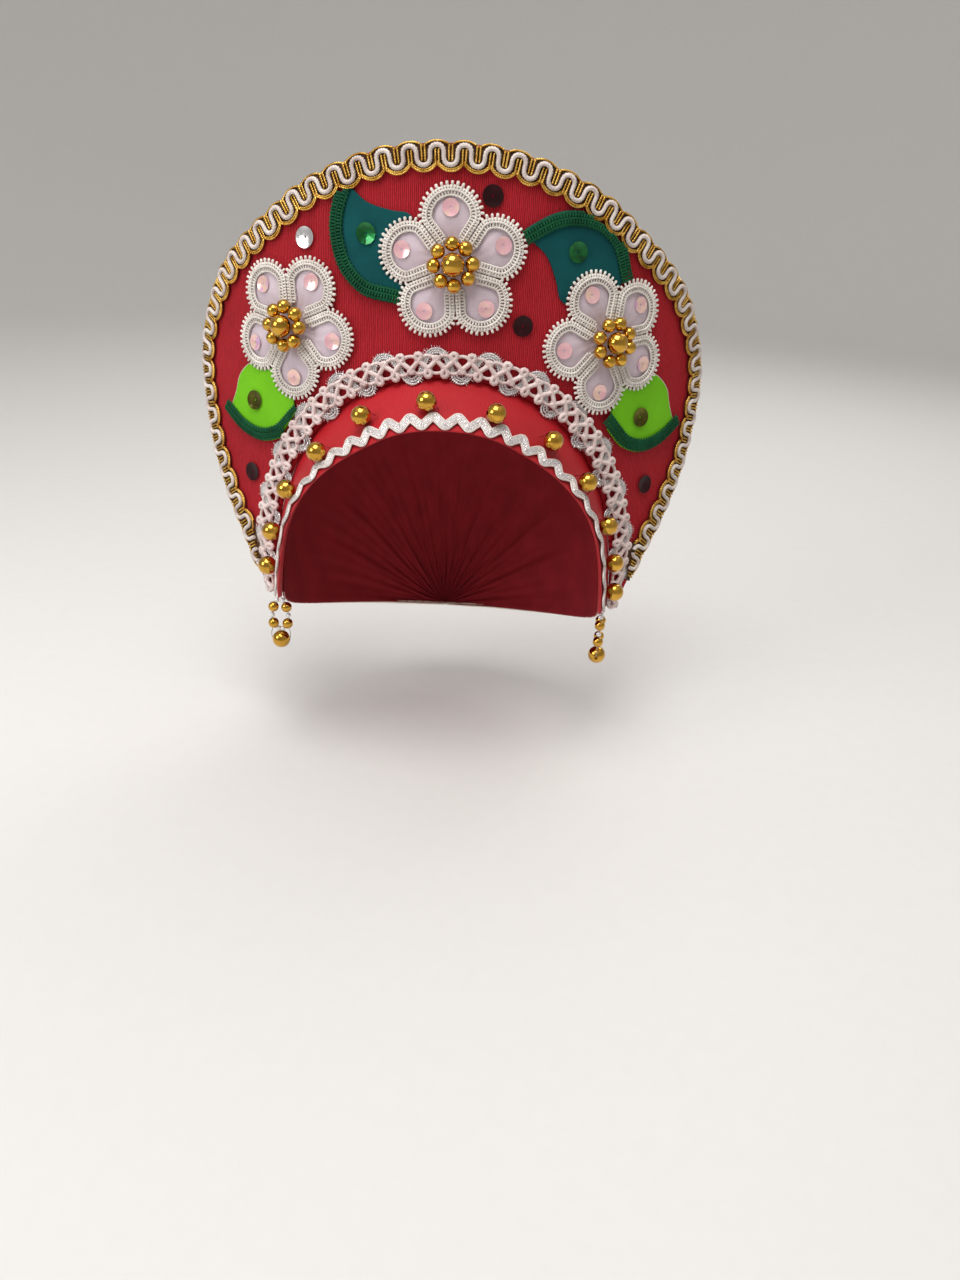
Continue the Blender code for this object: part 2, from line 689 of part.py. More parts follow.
def make_drop(name, share, look):
    """A loop of beads sewn to the headband's lower end, with a large bead at its bottom."""
    top = place(band_local(share, BAND_DEPTH - DROP_PLACE, -BAND_WALL / 2)) - Vector((0, 0, GAP + THREAD / 2))
    aside = Vector((cos(DROP_TURNS[name]), sin(DROP_TURNS[name]), 0))
    half = eased([(x * MM, y * MM) for x, y in DROP_ROUTE], 1)
    far = [0.0]
    for a, b in zip(half, half[1:]):
        far.append(far[-1] + hypot(b[0] - a[0], b[1] - a[1]))

    def along(share_of_half):
        want = share_of_half * far[-1]
        k = next(i for i in range(1, len(far)) if far[i] >= want - 1e-12)
        part = (want - far[k - 1]) / (far[k] - far[k - 1])
        return [half[k - 1][n] + (half[k][n] - half[k - 1][n]) * part for n in (0, 1)]

    stations = [(0.0, THREAD / 2)]
    for bead in DROP_BEADS:
        stations += bead_stations(bead, far[-1])
    stations.append((1.0, THREAD / 2))
    middles, radii = [], []
    for side, rows in ((1, stations), (-1, stations[-2:0:-1])):
        for share_of_half, radius in rows:
            x, y = along(share_of_half)
            middles.append(top + aside * (side * x) - Vector((0, 0, y)))
            radii.append(radius)
    tube(f"temple_loop_{name}", middles, radii, look, closed=True)
    low = top - Vector((0, 0, half[-1][1] + THREAD / 2 + GAP + LARGE_BEAD / 2))
    make_bead(f"temple_bead_{name}", low, LARGE_BEAD, look)


def build():
    for old in list(bpy.data.objects):
        bpy.data.objects.remove(old)
    crepe = material("red_crepe", (0.33, 0.012, 0.02), 0.85)
    satin = material("red_satin", (0.45, 0.015, 0.025), 0.5)
    lining = material("red_lining", (0.16, 0.008, 0.014), 0.9)
    gimp = material("gold_and_white_braid", (0.72, 0.55, 0.35), 0.5)
    lace = material("white_lace", (0.82, 0.76, 0.72), 0.8)
    tape = material("silver_tape", (0.75, 0.72, 0.72), 0.5)
    pale = material("pale_satin", (0.6, 0.5, 0.55), 0.5)
    cream = material("cream_cord", (0.82, 0.77, 0.7), 0.8)
    gold = material("gold_beads", (0.83, 0.45, 0.06), 0.18, 1.0)
    teal = material("teal_cloth", (0.004, 0.07, 0.08), 0.8)
    lime = material("lime_cloth", (0.17, 0.54, 0.03), 0.8)
    green = material("green_cord", (0.006, 0.08, 0.03), 0.8)
    sequins = {
        "silver": material("silver_sequin", (0.85, 0.85, 0.85), 0.2, 1.0),
        "red": material("dark_red_sequin", (0.05, 0.005, 0.008), 0.2, 0.8),
        "upper": material("green_sequin", (0.004, 0.15, 0.03), 0.2, 0.8),
        "lower": material("olive_sequin", (0.1, 0.1, 0.01), 0.3, 0.8),
    }
    make_board(crepe)
    make_headband(satin)
    make_cap(lining)
    lace_block = braid_cutter("lace_cutter", lace_rows, lace)
    make_edge_braid(gimp, lace_block)
    cutters = [flower_cutter(flower, cream) for flower in FLOWERS]
    make_lace(lace, cutters)
    make_ric_rac(tape)
    cutters += [lace_block, braid_cutter("edge_cutter", edge_rows, gimp)]
    for flower in FLOWERS:
        make_petals(flower, pale)
        make_flower_cord(flower, cream)
        make_bead_ring(flower, gold)
        middle = on_board(*spot(*flower[1:3]), CORD_TOP + GAP + LARGE_BEAD / 2)
        make_bead(f"flower_bead_{flower[0]}", middle, LARGE_BEAD, gold)
    for leaf in LEAVES:
        make_leaf(leaf, teal if leaf[1] == "upper" else lime, green, cutters)
    make_sequins(sequins)
    make_band_beads(gold)
    make_drop("left", -1, gold)
    make_drop("right", 1, gold)


build()
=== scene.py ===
"""The looks of a kokoshnik headdress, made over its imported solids.

Metres, +Z up, the front towards -Y. The board is drawn flat, across and up from the middle of its lower
tips, and then bent round a cylinder, as its pattern is before the maker bends the card.
Braids and cords are drawn as lines on the board or on the headband, and Geometry Nodes lay the
threads, beads and stitches along them."""

from math import asin, atan2, cos, pi, radians, sin, sqrt

import bmesh
import bpy
import numpy as np
from mathutils import Matrix, Vector

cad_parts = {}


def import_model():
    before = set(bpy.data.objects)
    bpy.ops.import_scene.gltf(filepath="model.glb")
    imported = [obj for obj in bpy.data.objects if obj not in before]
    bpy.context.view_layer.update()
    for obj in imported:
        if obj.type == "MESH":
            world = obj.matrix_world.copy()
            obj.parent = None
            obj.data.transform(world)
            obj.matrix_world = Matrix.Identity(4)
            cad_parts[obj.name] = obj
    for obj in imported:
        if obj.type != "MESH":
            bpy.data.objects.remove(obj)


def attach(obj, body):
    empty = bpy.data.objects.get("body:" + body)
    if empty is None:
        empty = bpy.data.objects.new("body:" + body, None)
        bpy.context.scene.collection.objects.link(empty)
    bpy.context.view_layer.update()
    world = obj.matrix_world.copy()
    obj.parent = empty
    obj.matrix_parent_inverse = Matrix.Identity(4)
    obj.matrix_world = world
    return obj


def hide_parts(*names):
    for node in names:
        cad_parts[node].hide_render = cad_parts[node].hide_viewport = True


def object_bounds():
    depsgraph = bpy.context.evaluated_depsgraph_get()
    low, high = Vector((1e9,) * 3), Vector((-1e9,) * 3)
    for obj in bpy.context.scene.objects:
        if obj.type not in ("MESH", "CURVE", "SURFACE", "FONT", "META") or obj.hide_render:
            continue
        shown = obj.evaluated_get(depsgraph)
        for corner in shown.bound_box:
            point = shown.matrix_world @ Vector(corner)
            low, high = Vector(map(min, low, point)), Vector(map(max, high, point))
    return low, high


MM = 0.001
GAP = 0.3 * MM

# The board, the headband and the cap, as in the solids
BOARD_HALF_WIDTH = 156.5 * MM
BOARD_HEIGHT = 228.5 * MM
BOARD_WALL = 3.0 * MM
BEND_RADIUS = 178 * MM
LEAN_BACK = radians(5)
BOARD_EDGE = (
    (0.0, 1.0), (0.23, 0.982), (0.46, 0.925), (0.61, 0.862), (0.74, 0.803), (0.845, 0.744), (0.92, 0.677),
    (0.98, 0.597), (1.0, 0.505), (0.957, 0.355), (0.865, 0.225), (0.77, 0.125), (0.67, 0.0),
)
TIP_WIDTH = 3.4 * MM
ARCH_HALF_WIDTH = BOARD_HALF_WIDTH * BOARD_EDGE[-1][0] - TIP_WIDTH
ARCH_HEIGHT = BOARD_HEIGHT * 0.547
ARCH_FULLNESS = 2.15
BAND_DEPTH = 40 * MM
BAND_WALL = 2.5 * MM
BAND_TRIM_GAP = 0.6 * MM
BAND_SLOPE_TOP = radians(31)
BAND_SLOPE_SIDE = radians(12)
BAND_SLOPE_TURN = (0.25, 0.75)
BAND_RISE = 9 * MM
CAP_WALL = 1.6 * MM
CAP_DEPTH = 98 * MM
CAP_FRONT = 12 * MM
CAP_DROP = 26 * MM
CAP_GATHER = 0.035
CAP_GATHERS = 11
CAP_SEAT = radians(12)
NEAR = 0.002

# The braids
EDGE_BRAID_WIDTH = 14 * MM
EDGE_BRAID_PERIOD = 12.7 * MM
EDGE_BRAID_OVERHANG = 2.5 * MM
EDGE_BRAID_END = 0.95
EDGE_CORD = 2.35 * MM  # the white cord's thickness
EDGE_WAVE = 4.2 * MM  # how far it swings from the braid's middle
EDGE_GROUND = 0.7 * MM
EDGE_GOLD = 1.25 * MM  # the thickness of its gold cords
LACE_WIDTH = 14.6 * MM
LACE_PERIOD = 24 * MM
LACE_WAVE = 6.6 * MM  # how far the lurex swings from the lace's middle
LACE_SHARE = 0.5
LACE_PAST = 2 * MM
LACE_FOLD = 2.4 * MM  # folded onto the headband
LACE_TURN = 1.6 * MM
LACE_VINE, LACE_UNDER_VINE = 2.6 * MM, 1.9 * MM
LACE_LUREX = 1.25 * MM
RIC_RAC_WIDTH = 5.6 * MM
RIC_RAC_PERIOD = 14.7 * MM
RIC_RAC_WAVE = 3.1 * MM
RIC_RAC_INSET = 6.3 * MM
RIC_RAC_STRANDS, RIC_RAC_STRAND_STEP = 6, 1.04 * MM
RIC_RAC_FORWARD = 1.0 * MM  # past where its solid lies

# The flowers, the leaves and the sequins
FLOWER_RADIUS = BOARD_HALF_WIDTH * 0.23
PETAL_ROUND = FLOWER_RADIUS * 0.417
PETALS = 5
VALLEY = pi / PETALS
PETAL_CLOTH = 1.0 * MM
PETAL_HUB = 8.6 * MM  # where a petal's braid starts
PETAL_NEARER = 1.1 * MM  # how much nearer its legs are to the next petal's than its rows are to the outline
PETAL_SEQUIN = 8 * MM
FLOWER_CORD_WIDTH = 6.5 * MM
FLOWER_CORD_THICKNESS = 2.2 * MM
PETAL_SEQUIN_PLACE = FLOWER_RADIUS - FLOWER_CORD_WIDTH - PETAL_SEQUIN / 2 - 0.5 * MM
FLOWERS = (  # name, across and up as shares of the board, turn of the first petal to the left
    ("left", -0.533, 0.632, radians(41)),
    ("middle", 0.0, 0.775, radians(5)),
    ("right", 0.52, 0.635, radians(29)),
)
PETAL_BRAID_CORDS = (  # in mm: inset, height, thickness, depth of twist (a share), twist length, step
    (1.9, 0.6, 1.2, 0.3, 2.4, 0.5), (3.4, 1.15, 1.3, 0.4, 2.0, 0.4), (5.7, 0.75, 1.35, 0.5, 2.2, 0.35),
)
PETAL_BRAID_STITCHES = (  # in mm: inset, height, length, thickness, spacing
    (2.4, 0.95, 2.2, 1.05, 1.45), (4.5, 0.75, 2.0, 0.95, 1.45), (0.5, 0.6, 2.0, 1.4, 2.5),
)
LEAF_CLOTH = 1.0 * MM
UPPER_LEAF, UPPER_LEAF_CORD = 60 * MM, 6.5 * MM
LOWER_LEAF, LOWER_LEAF_CORD = 52 * MM, 6.5 * MM
UPPER_LEAF_ROWS = (  # corded edge across and up, plain edge across and up, as shares of the length
    (0.0, 0.0, 0.05, 0.01), (-0.067, -0.217, 0.217, -0.133), (-0.067, -0.417, 0.42, -0.19),
    (0.017, -0.65, 0.58, -0.22), (0.2, -0.817, 0.68, -0.4), (0.43, -0.867, 0.7, -0.62),
)
LOWER_LEAF_ROWS = (
    (0.0, 0.0, 0.03, 0.05), (0.19, -0.125, 0.13, 0.22), (0.385, -0.2, 0.22, 0.42),
    (0.58, -0.215, 0.42, 0.56), (0.79, -0.145, 0.66, 0.6), (0.97, 0.02, 0.88, 0.5),
)
LEAVES = (  # name, kind, its tip across and up as shares of the board, turn, side
    ("upper_left", "upper", -0.358, 0.923, 0, 1),
    ("upper_right", "upper", 0.217, 0.853, radians(102), -1),
    ("lower_left", "lower", -0.843, 0.42, 0, 1),
    ("lower_right", "lower", 0.875, 0.438, 0, -1),
)
SEQUIN = 10 * MM
SEQUINS = (  # name, what it lies on, across and up as shares of the board
    ("silver", "board", -0.479, 0.814),
    ("red_top", "board", 0.109, 0.91),
    ("red_middle", "board", 0.224, 0.661),
    ("red_left", "board", -0.728, 0.289),
    ("red_right", "board", 0.748, 0.306),
    ("upper_left", "leaf", -0.268, 0.827),
    ("upper_right", "leaf", 0.383, 0.814),
    ("lower_left", "leaf", -0.696, 0.46),
    ("lower_right", "leaf", 0.684, 0.468),
)

# The beads
LARGE_BEAD = 10 * MM
SMALL_BEAD = 6 * MM
SEED_BEAD = 2.9 * MM
RING_BEADS = 8
RING_BEAD = 6.6 * MM
RING_RADIUS = 9.1 * MM
RING_BEAD_MORE, FLOWER_BEAD_MORE = 0.4 * MM, 0.9 * MM  # how much larger they look than their solids
LARGE_BEAD_HOLE, RING_BEAD_HOLE, SMALL_BEAD_HOLE, SEED_BEAD_HOLE = 1.9 * MM, 1.4 * MM, 1.3 * MM, 0.9 * MM
BAND_BEADS = (-0.905, -0.79, -0.645, -0.48, -0.275, -0.06, 0.155, 0.37, 0.555, 0.715, 0.84, 0.935)
DROP_PLACE = 26 * MM
DROP_TURNS = {"left": radians(0), "right": radians(80)}
DROP_ROUTE = ((0.0, 0.0), (1.2, 3.0), (3.8, 8.5), (4.6, 13.5), (4.0, 18.0), (1.7, 21.2), (0.0, 22.0))
DROP_BEADS = (0.36, 0.77)
DROP_SEEDS = (0.175, 0.565, 0.945)
DROP_THREAD = 1.4 * MM

# The camera, from where the photograph was taken
LENS = 27
CAMERA_DISTANCE = 457 * MM
LOOK_DOWN, LOOK_ASIDE, ROLL = radians(26), radians(1), radians(3.3)
PICTURE = (960, 1280)
FLOWER_IN_PICTURE = (453.4, 265.3)  # the middle flower's centre
SENSOR = 36

# The studio: a pale floor that curves up to a wall
FLOOR_DROP, FLOOR_RADIUS, FLOOR_CURVE, WALL_HEIGHT = 0.05, 1.7, 1.1, 2.6


# ---------------------------------------------------------------- lines and faces


def row_of(*parts):
    """Points from numbers or rows of numbers for their three sides."""
    return np.stack(np.broadcast_arrays(*parts), -1).astype(float)


def unit(vectors):
    return vectors / np.maximum(np.linalg.norm(vectors, axis=-1, keepdims=True), 1e-12)


def far_along(line):
    """How far each point of a line is from its first."""
    return np.concatenate([[0], np.cumsum(np.linalg.norm(np.diff(line, axis=0), axis=1))])


def smooth_line(rows, steps=16, level=True):
    """A Catmull-Rom curve through flat points, level at the first if asked."""
    rows = np.array(rows, float)
    first = rows[1] * (-1, 1) if level else rows[0]
    last = 2 * rows[-1] - rows[-2] if level else rows[-1]
    rows = np.vstack([first, rows, last])
    line = []
    for a, b, c, d in zip(rows, rows[1:], rows[2:], rows[3:]):
        for t in np.arange(steps) / steps:
            line.append(
                b + t * (c - a) / 2 + t * t * (2 * a - 5 * b + 4 * c - d) / 2 + t**3 * (3 * b - a - 3 * c + d) / 2
            )
    return np.array(line + [rows[-2]])


def arch_line(steps=160):
    t = np.linspace(0, pi / 2, steps + 1)
    power = 2 / ARCH_FULLNESS
    return np.stack([ARCH_HALF_WIDTH * np.sin(t) ** power, ARCH_HEIGHT * np.maximum(np.cos(t), 0) ** power], -1)


class Rail:
    """A line drawn flat on the board from its middle to the right, mirrored to the left."""

    def __init__(self, half):
        self.points = half
        self.far = far_along(half)
        self.half_length = self.far[-1]
        self.way = unit(np.gradient(half, self.far, axis=0))
        self.way[0] = (1, 0)

    def at(self, share):
        """Across and up at a share of the half length, -1 to 1, and the direction outwards there."""
        want, side = np.clip(np.abs(share), 0, 1) * self.half_length, np.where(np.asarray(share) < 0, -1.0, 1.0)
        x, y = (np.interp(want, self.far, self.points[:, n]) for n in (0, 1))
        a, b = (np.interp(want, self.far, self.way[:, n]) for n in (0, 1))
        return side * x, y, -side * b, a

    def beside(self, share, out):
        across, up, a, b = self.at(share)
        return across + a * out, up + b * out

    def across_at(self, up):
        """How far to the side the line is at a height, looked for from its lower end."""
        low = self.points[::-1]
        top = np.argmax(low[:, 0] < low[:, 0].max() * 0.5) or len(low)
        return np.interp(up, low[:top, 1], low[:top, 0])


ARCH = Rail(arch_line())
EDGE = Rail(smooth_line([(BOARD_HALF_WIDTH * a, BOARD_HEIGHT * b) for a, b in BOARD_EDGE]))
TILT = np.array(Matrix.Rotation(-LEAN_BACK, 3, "X"))


def bent(across, up, height=0.0):
    turn, radius = across / BEND_RADIUS, BEND_RADIUS + height
    return row_of(radius * np.sin(turn), BEND_RADIUS - radius * np.cos(turn), up)


def band_start(share):
    start = bent(*ARCH.beside(share, -GAP), -BOARD_WALL)
    a, b = (bent(*ARCH.at(np.clip(share + d, -1, 1))[:2], -BOARD_WALL) for d in (-NEAR, NEAR))
    inward = unit(row_of(b[..., 2] - a[..., 2], 0, a[..., 0] - b[..., 0]))
    low, high = BAND_SLOPE_TURN
    side = np.clip((np.abs(share) - low) / (high - low), 0, 1)
    slope = (BAND_SLOPE_TOP + (BAND_SLOPE_SIDE - BAND_SLOPE_TOP) * side * side * (3 - 2 * side))[..., None]
    return start, np.array([0.0, -1.0, 0.0]) * np.cos(slope) + inward * np.sin(slope)


def band_face(share, forward):
    start, _ = band_start(share)
    front, ahead = band_start(share * (1 - BAND_RISE / ARCH.half_length))
    return start + (front + ahead * BAND_DEPTH - start) * (np.asarray(forward) / BAND_DEPTH)[..., None]


def band_out(share, forward):
    a, b = (band_face(np.clip(share + d, -1, 1), forward) for d in (-NEAR, NEAR))
    return unit(np.cross(band_face(share, BAND_DEPTH) - band_face(share, 0), b - a))


def band_local(share, forward, height):
    share, forward, height = np.broadcast_arrays(*(np.asarray(v, float) for v in (share, forward, height)))
    return band_face(share, forward) + band_out(share, forward) * height[..., None]


def cap_local(share, turn, height):
    share, turn, height = np.broadcast_arrays(*(np.asarray(v, float) for v in (share, turn, height)))
    start = band_local(share, 0.0, -BAND_WALL - GAP + height)
    fold = 1 + CAP_GATHER * np.sin(turn) ** 3 * np.cos(share * pi * CAP_GATHERS)
    narrow = np.cos(turn) * fold
    back = start[..., 1] + (CAP_DEPTH + height - start[..., 1]) * np.sin(turn)
    drop = CAP_DROP * np.sqrt(np.sin(turn)) * (share**2 + (1 - share**2) * np.sin(turn) ** 4)
    return row_of(start[..., 0] * narrow, back, start[..., 2] * narrow - drop)


SEAT = cap_local(0.0, CAP_SEAT, -CAP_WALL) @ TILT.T


def place(local):
    return local @ TILT.T - SEAT


def on_board(across, up, height=0.0):
    return place(bent(across, up, height))


def board_out(across):
    turn = np.asarray(across) / BEND_RADIUS
    return row_of(np.sin(turn), -np.cos(turn), 0.0) @ TILT.T


def on_band(share, forward, height):
    return place(band_local(share, forward, height))


def band_outward(share, forward):
    share, forward = np.broadcast_arrays(np.asarray(share, float), np.asarray(forward, float))
    return band_out(share, forward) @ TILT.T


def even(length, period):
    return max(1, round(length / period))


def swings(length, period, steps):
    """How many waves fit a length evenly, the length of one, and their angle along the line."""
    waves = even(length, period)
    return waves, length / waves, np.linspace(0, 2 * pi * waves, waves * steps + 1)


def uneven(x, y, seed=0.0):
    """Gentle bumps without a pattern, about -1 to 1, from places in metres."""
    return (
        np.sin(61 * x + 37 * y + seed) + np.sin(113 * x - 71 * y + 2.3 * seed) + np.sin(29 * x + 157 * y + 4.1 * seed)
    ) / 3


def shifted(line, aside):
    """A flat line moved to its left by a distance."""
    way = unit(np.gradient(line, axis=0))
    return line + np.stack([-way[:, 1], way[:, 0]], -1) * np.asarray(aside)[..., None]


def evened(line, step):
    """A flat line with its points an even step apart."""
    far = far_along(line)
    want = np.linspace(0, far[-1], max(2, round(far[-1] / step) + 1))
    return np.stack([np.interp(want, far, line[:, n]) for n in range(line.shape[1])], -1)


# ---------------------------------------------------------------- meshes


def placed(name, data):
    """A new object in the scene."""
    made = bpy.data.objects.new(name, data)
    bpy.context.scene.collection.objects.link(made)
    return made


def finish_mesh(name, points, faces, look, uv=None, smooth=True, merge=1e-7):
    """A plain object of points and faces, closed, facing outwards."""
    mesh = bpy.data.meshes.new(name)
    mesh.from_pydata([tuple(p) for p in points], [], faces)
    if uv is not None:
        layer = mesh.uv_layers.new(name="UVMap")
        index = np.empty(len(mesh.loops), np.int32)
        mesh.loops.foreach_get("vertex_index", index)
        layer.data.foreach_set("uv", np.asarray(uv, np.float32)[index].ravel())
    bm = bmesh.new()
    bm.from_mesh(mesh)
    bmesh.ops.remove_doubles(bm, verts=bm.verts, dist=merge)
    bmesh.ops.recalc_face_normals(bm, faces=bm.faces)
    bm.to_mesh(mesh)
    bm.free()
    if smooth:
        mesh.shade_smooth()
        mesh.set_sharp_from_angle(angle=radians(50))
    mesh.materials.append(look)
    return placed(name, mesh)


def quads(rows, columns, round_rows=False, round_columns=False):
    """The faces of a grid of points, row by row, closed round either way if asked."""
    return [
        [i * columns + j, n * columns + j, n * columns + m, i * columns + m]
        for i in range(rows - (not round_rows)) for n in [(i + 1) % rows]
        for j in range(columns - (not round_columns)) for m in [(j + 1) % columns]
    ]


def cloth_sheet(name, front, back, look, uv, wrap=False, round_edge=0.5):
    """A closed sheet between two grids of points, with a soft rounded edge all round."""
    count, width = front.shape[:2]
    if wrap:
        rim = [(i, width - 1) for i in range(count)]
        inner = [(i, j - 1) for i, j in rim]
    else:
        rim = [(i, 0) for i in range(count)] + [(count - 1, j) for j in range(1, width)]
        rim += [(i, width - 1) for i in range(count - 2, -1, -1)] + [(0, j) for j in range(width - 2, 0, -1)]
        inner = [(min(max(i, 1), count - 2), min(max(j, 1), width - 2)) for i, j in rim]
    points, uvs = np.concatenate([front, back]).reshape(-1, 3), np.concatenate([uv, uv]).reshape(-1, 2)
    half, faces = count * width, []
    for quad in quads(count, width, wrap):
        faces += [quad, [half + k for k in reversed(quad)]]
    edge, inner = (np.array([i * width + j for i, j in places]) for places in (rim, inner))
    wall = np.linalg.norm(points[edge] - points[half + edge], axis=1, keepdims=True)
    middle = (points[edge] + points[half + edge]) / 2 + unit(points[edge] - points[inner]) * wall * round_edge
    base = len(points)
    for k in range(len(rim)):
        m = (k + 1) % len(rim)
        faces.append([edge[k], edge[m], base + m, base + k])
        faces.append([base + k, base + m, half + edge[m], half + edge[k]])
    faces = [[int(v) for v in face] for face in faces]
    return finish_mesh(name, np.concatenate([points, middle]), faces, look, np.concatenate([uvs, uvs[edge]]))


def turned_shape(name, profile, sides, look, flat=False):
    """A shape turned about Z from a closed profile of (out, up), as on a lathe."""
    turns = [2 * pi * k / sides for k in range(sides)]
    points = [(r * cos(a), r * sin(a), z) for a in turns for r, z in profile]
    return finish_mesh(name, points, quads(sides, len(profile), True, True), look, smooth=not flat)


def bead_shape(name, size, hole, look):
    """A round bead with its drill hole along X."""
    edge = asin(hole / size)
    turns = np.linspace(edge, pi - edge, 13)
    profile = [(size / 2 * sin(t), size / 2 * cos(t)) for t in turns]
    made = turned_shape(name, profile, 20, look)
    made.data.transform(Matrix.Rotation(pi / 2, 4, "Y"))
    return made


def capsule_shape(name, length, thick, look, bow=0.0):
    """A short thread along Y, bowed up in the middle."""
    sides, points = 6, []
    rows = [(-0.5, 0.45), (-0.36, 0.95), (0.0, 1.0), (0.36, 0.95), (0.5, 0.45)]
    for along, swell in rows:
        radius, lift = thick / 2 * swell, bow * (1 - (2 * along) ** 2)
        for k in range(sides):
            a = 2 * pi * k / sides
            points.append((radius * cos(a), length * along, radius * sin(a) + lift))
    faces = [[a, d, c, b] for a, b, c, d in quads(len(rows), sides, False, True)]
    faces += [list(range(sides - 1, -1, -1)), [(len(rows) - 1) * sides + k for k in range(sides)]]
    return finish_mesh(name, points, faces, look)


# ---------------------------------------------------------------- Geometry Nodes


class Wires:
    """Adds nodes to a tree and joins them: a socket, a number or a vector goes into each named input."""

    def __init__(self, tree):
        self.tree = tree

    def add(self, kind, _settings=(), **into):
        node = self.tree.nodes.new(kind)
        for key, value in dict(_settings).items():
            setattr(node, key, value)
        for key, value in into.items():
            numbered = key[0] == "i" and key[1:].isdigit()
            socket = node.inputs[int(key[1:]) if numbered else key.replace("_", " ")]
            if isinstance(value, bpy.types.NodeSocket):
                self.tree.links.new(value, socket)
            else:
                socket.default_value = value
        return node

    def take(self, kind, _settings=(), **into):
        """The first output of a new node."""
        return self.add(kind, _settings, **into).outputs[0]

    def send(self, node, **values):
        """Joins sockets to a node's named inputs."""
        for key, value in values.items():
            self.tree.links.new(value, node.inputs[key.replace("_", " ")])

    def math(self, operation, a, b=0.0, c=0.0):
        return self.take("ShaderNodeMath", {"operation": operation}, i0=a, i1=b, i2=c)

    def named(self, name, kind="FLOAT_VECTOR"):
        node = self.add("GeometryNodeInputNamedAttribute", {"data_type": kind}, Name=name)
        return node.outputs["Attribute"]


def new_group(name, kind, inputs, outputs):
    """A node group from its inputs (name, kind, value if it has one) and outputs: its wires and its two ends."""
    group = bpy.data.node_groups.new(name, kind)
    for label, socket_kind, *value in inputs:
        socket = group.interface.new_socket(label, in_out="INPUT", socket_type=f"NodeSocket{socket_kind}")
        if value:
            socket.default_value = value[0]
    for label, socket_kind in outputs:
        group.interface.new_socket(label, in_out="OUTPUT", socket_type=f"NodeSocket{socket_kind}")
    return Wires(group), group.nodes.new("NodeGroupInput").outputs, group.nodes.new("NodeGroupOutput")


def geometry_group(name, *inputs):
    geometry = ("Geometry", "Geometry")
    return new_group(name, "GeometryNodeTree", (geometry, *inputs, ("Finish", "Material")), (geometry,))


def finished(w, given, end, geometry):
    real = w.take("GeometryNodeRealizeInstances", Geometry=geometry)
    w.send(end, Geometry=w.take("GeometryNodeSetMaterial", Geometry=real, Material=given["Finish"]))
    return w.tree


def even_line(w, given, step):
    line = w.take("GeometryNodeMeshToCurve", Mesh=given["Geometry"])
    return w.take("GeometryNodeResampleCurve", {"mode": "LENGTH"}, Curve=line, Length=given[step])


def twisted_cord_tree():
    """Lays a twisted cord along each line, lying on the face that the line's out direction names."""
    w, given, end = geometry_group(
        "twisted_cord", ("Thickness", "Float", 0.002), ("Strands", "Int", 3), ("Depth of twist", "Float", 0.25),
        ("Twist length", "Float", 0.004), ("Step", "Float", 0.0006), ("Sides", "Int", 10),
    )
    line = even_line(w, given, "Step")
    line = w.take("GeometryNodeSetCurveNormal", {"mode": "FREE"}, Curve=line, Normal=w.named("out"))
    along = w.add("GeometryNodeSplineParameter").outputs["Length"]
    tilt = w.math("MULTIPLY", w.math("DIVIDE", along, given["Twist length"]), 2 * pi)
    line = w.take("GeometryNodeSetCurveTilt", Curve=line, Tilt=tilt)
    stored = {"data_type": "FLOAT", "domain": "POINT"}
    line = w.take("GeometryNodeStoreNamedAttribute", stored, Geometry=line, Name="along", Value=along)
    radius = w.math("DIVIDE", given["Thickness"], 2)
    ring = w.take("GeometryNodeCurvePrimitiveCircle", Resolution=given["Sides"], Radius=radius)
    spot = w.take("GeometryNodeInputPosition")
    sides = w.add("ShaderNodeSeparateXYZ", Vector=spot).outputs
    turn = w.math("MULTIPLY", w.math("ARCTAN2", sides["Y"], sides["X"]), given["Strands"])
    groove = w.math("SUBTRACT", 1.0, w.math("COSINE", turn))
    swell = w.math("MULTIPLY", groove, w.math("DIVIDE", given["Depth of twist"], 2))
    scaled = w.take("ShaderNodeVectorMath", {"operation": "SCALE"}, Vector=spot, Scale=w.math("SUBTRACT", 1.0, swell))
    ring = w.take("GeometryNodeSetPosition", Geometry=ring, Position=scaled)
    swept = w.take("GeometryNodeCurveToMesh", Curve=line, Profile_Curve=ring, Fill_Caps=True)
    return finished(w, given, end, w.take("GeometryNodeSetShadeSmooth", Geometry=swept))


def sewn_tree(name, in_rows):
    """Sets copies of a small piece along each line, or on points and turned to their way, each a little unlike."""
    spacing = (("Spacing", "Float", 0.003),) if in_rows else ()
    w, given, end = geometry_group(
        name, ("Piece", "Object"), *spacing, ("Uneven", "Float", 0.08 if in_rows else 0.0), ("Seed", "Int", 1)
    )
    points = even_line(w, given, "Spacing") if in_rows else given["Geometry"]
    way = w.take("GeometryNodeInputTangent") if in_rows else w.named("way")
    axes = {"primary_axis": "Z", "secondary_axis": "X"}
    facing = w.take("FunctionNodeAxesToRotation", axes, Primary_Axis=w.named("out"), Secondary_Axis=way)
    copy = w.add("GeometryNodeObjectInfo", Object=given["Piece"], As_Instance=True).outputs["Geometry"]
    low, high = w.math("SUBTRACT", 1.0, given["Uneven"]), w.math("ADD", 1.0, given["Uneven"])
    size = w.add("FunctionNodeRandomValue", {"data_type": "FLOAT"}, i2=low, i3=high, Seed=given["Seed"]).outputs[1]
    copies = w.take("GeometryNodeInstanceOnPoints", Points=points, Instance=copy, Rotation=facing, Scale=size)
    return finished(w, given, end, copies)


def set_inputs(modifier, values):
    """Sets a tree's named inputs on an object, by their sockets' identifiers."""
    known = {s.name: s.identifier for s in modifier.node_group.interface.items_tree if s.in_out == "INPUT"}
    for name, value in values.items():
        modifier[known[name]] = value


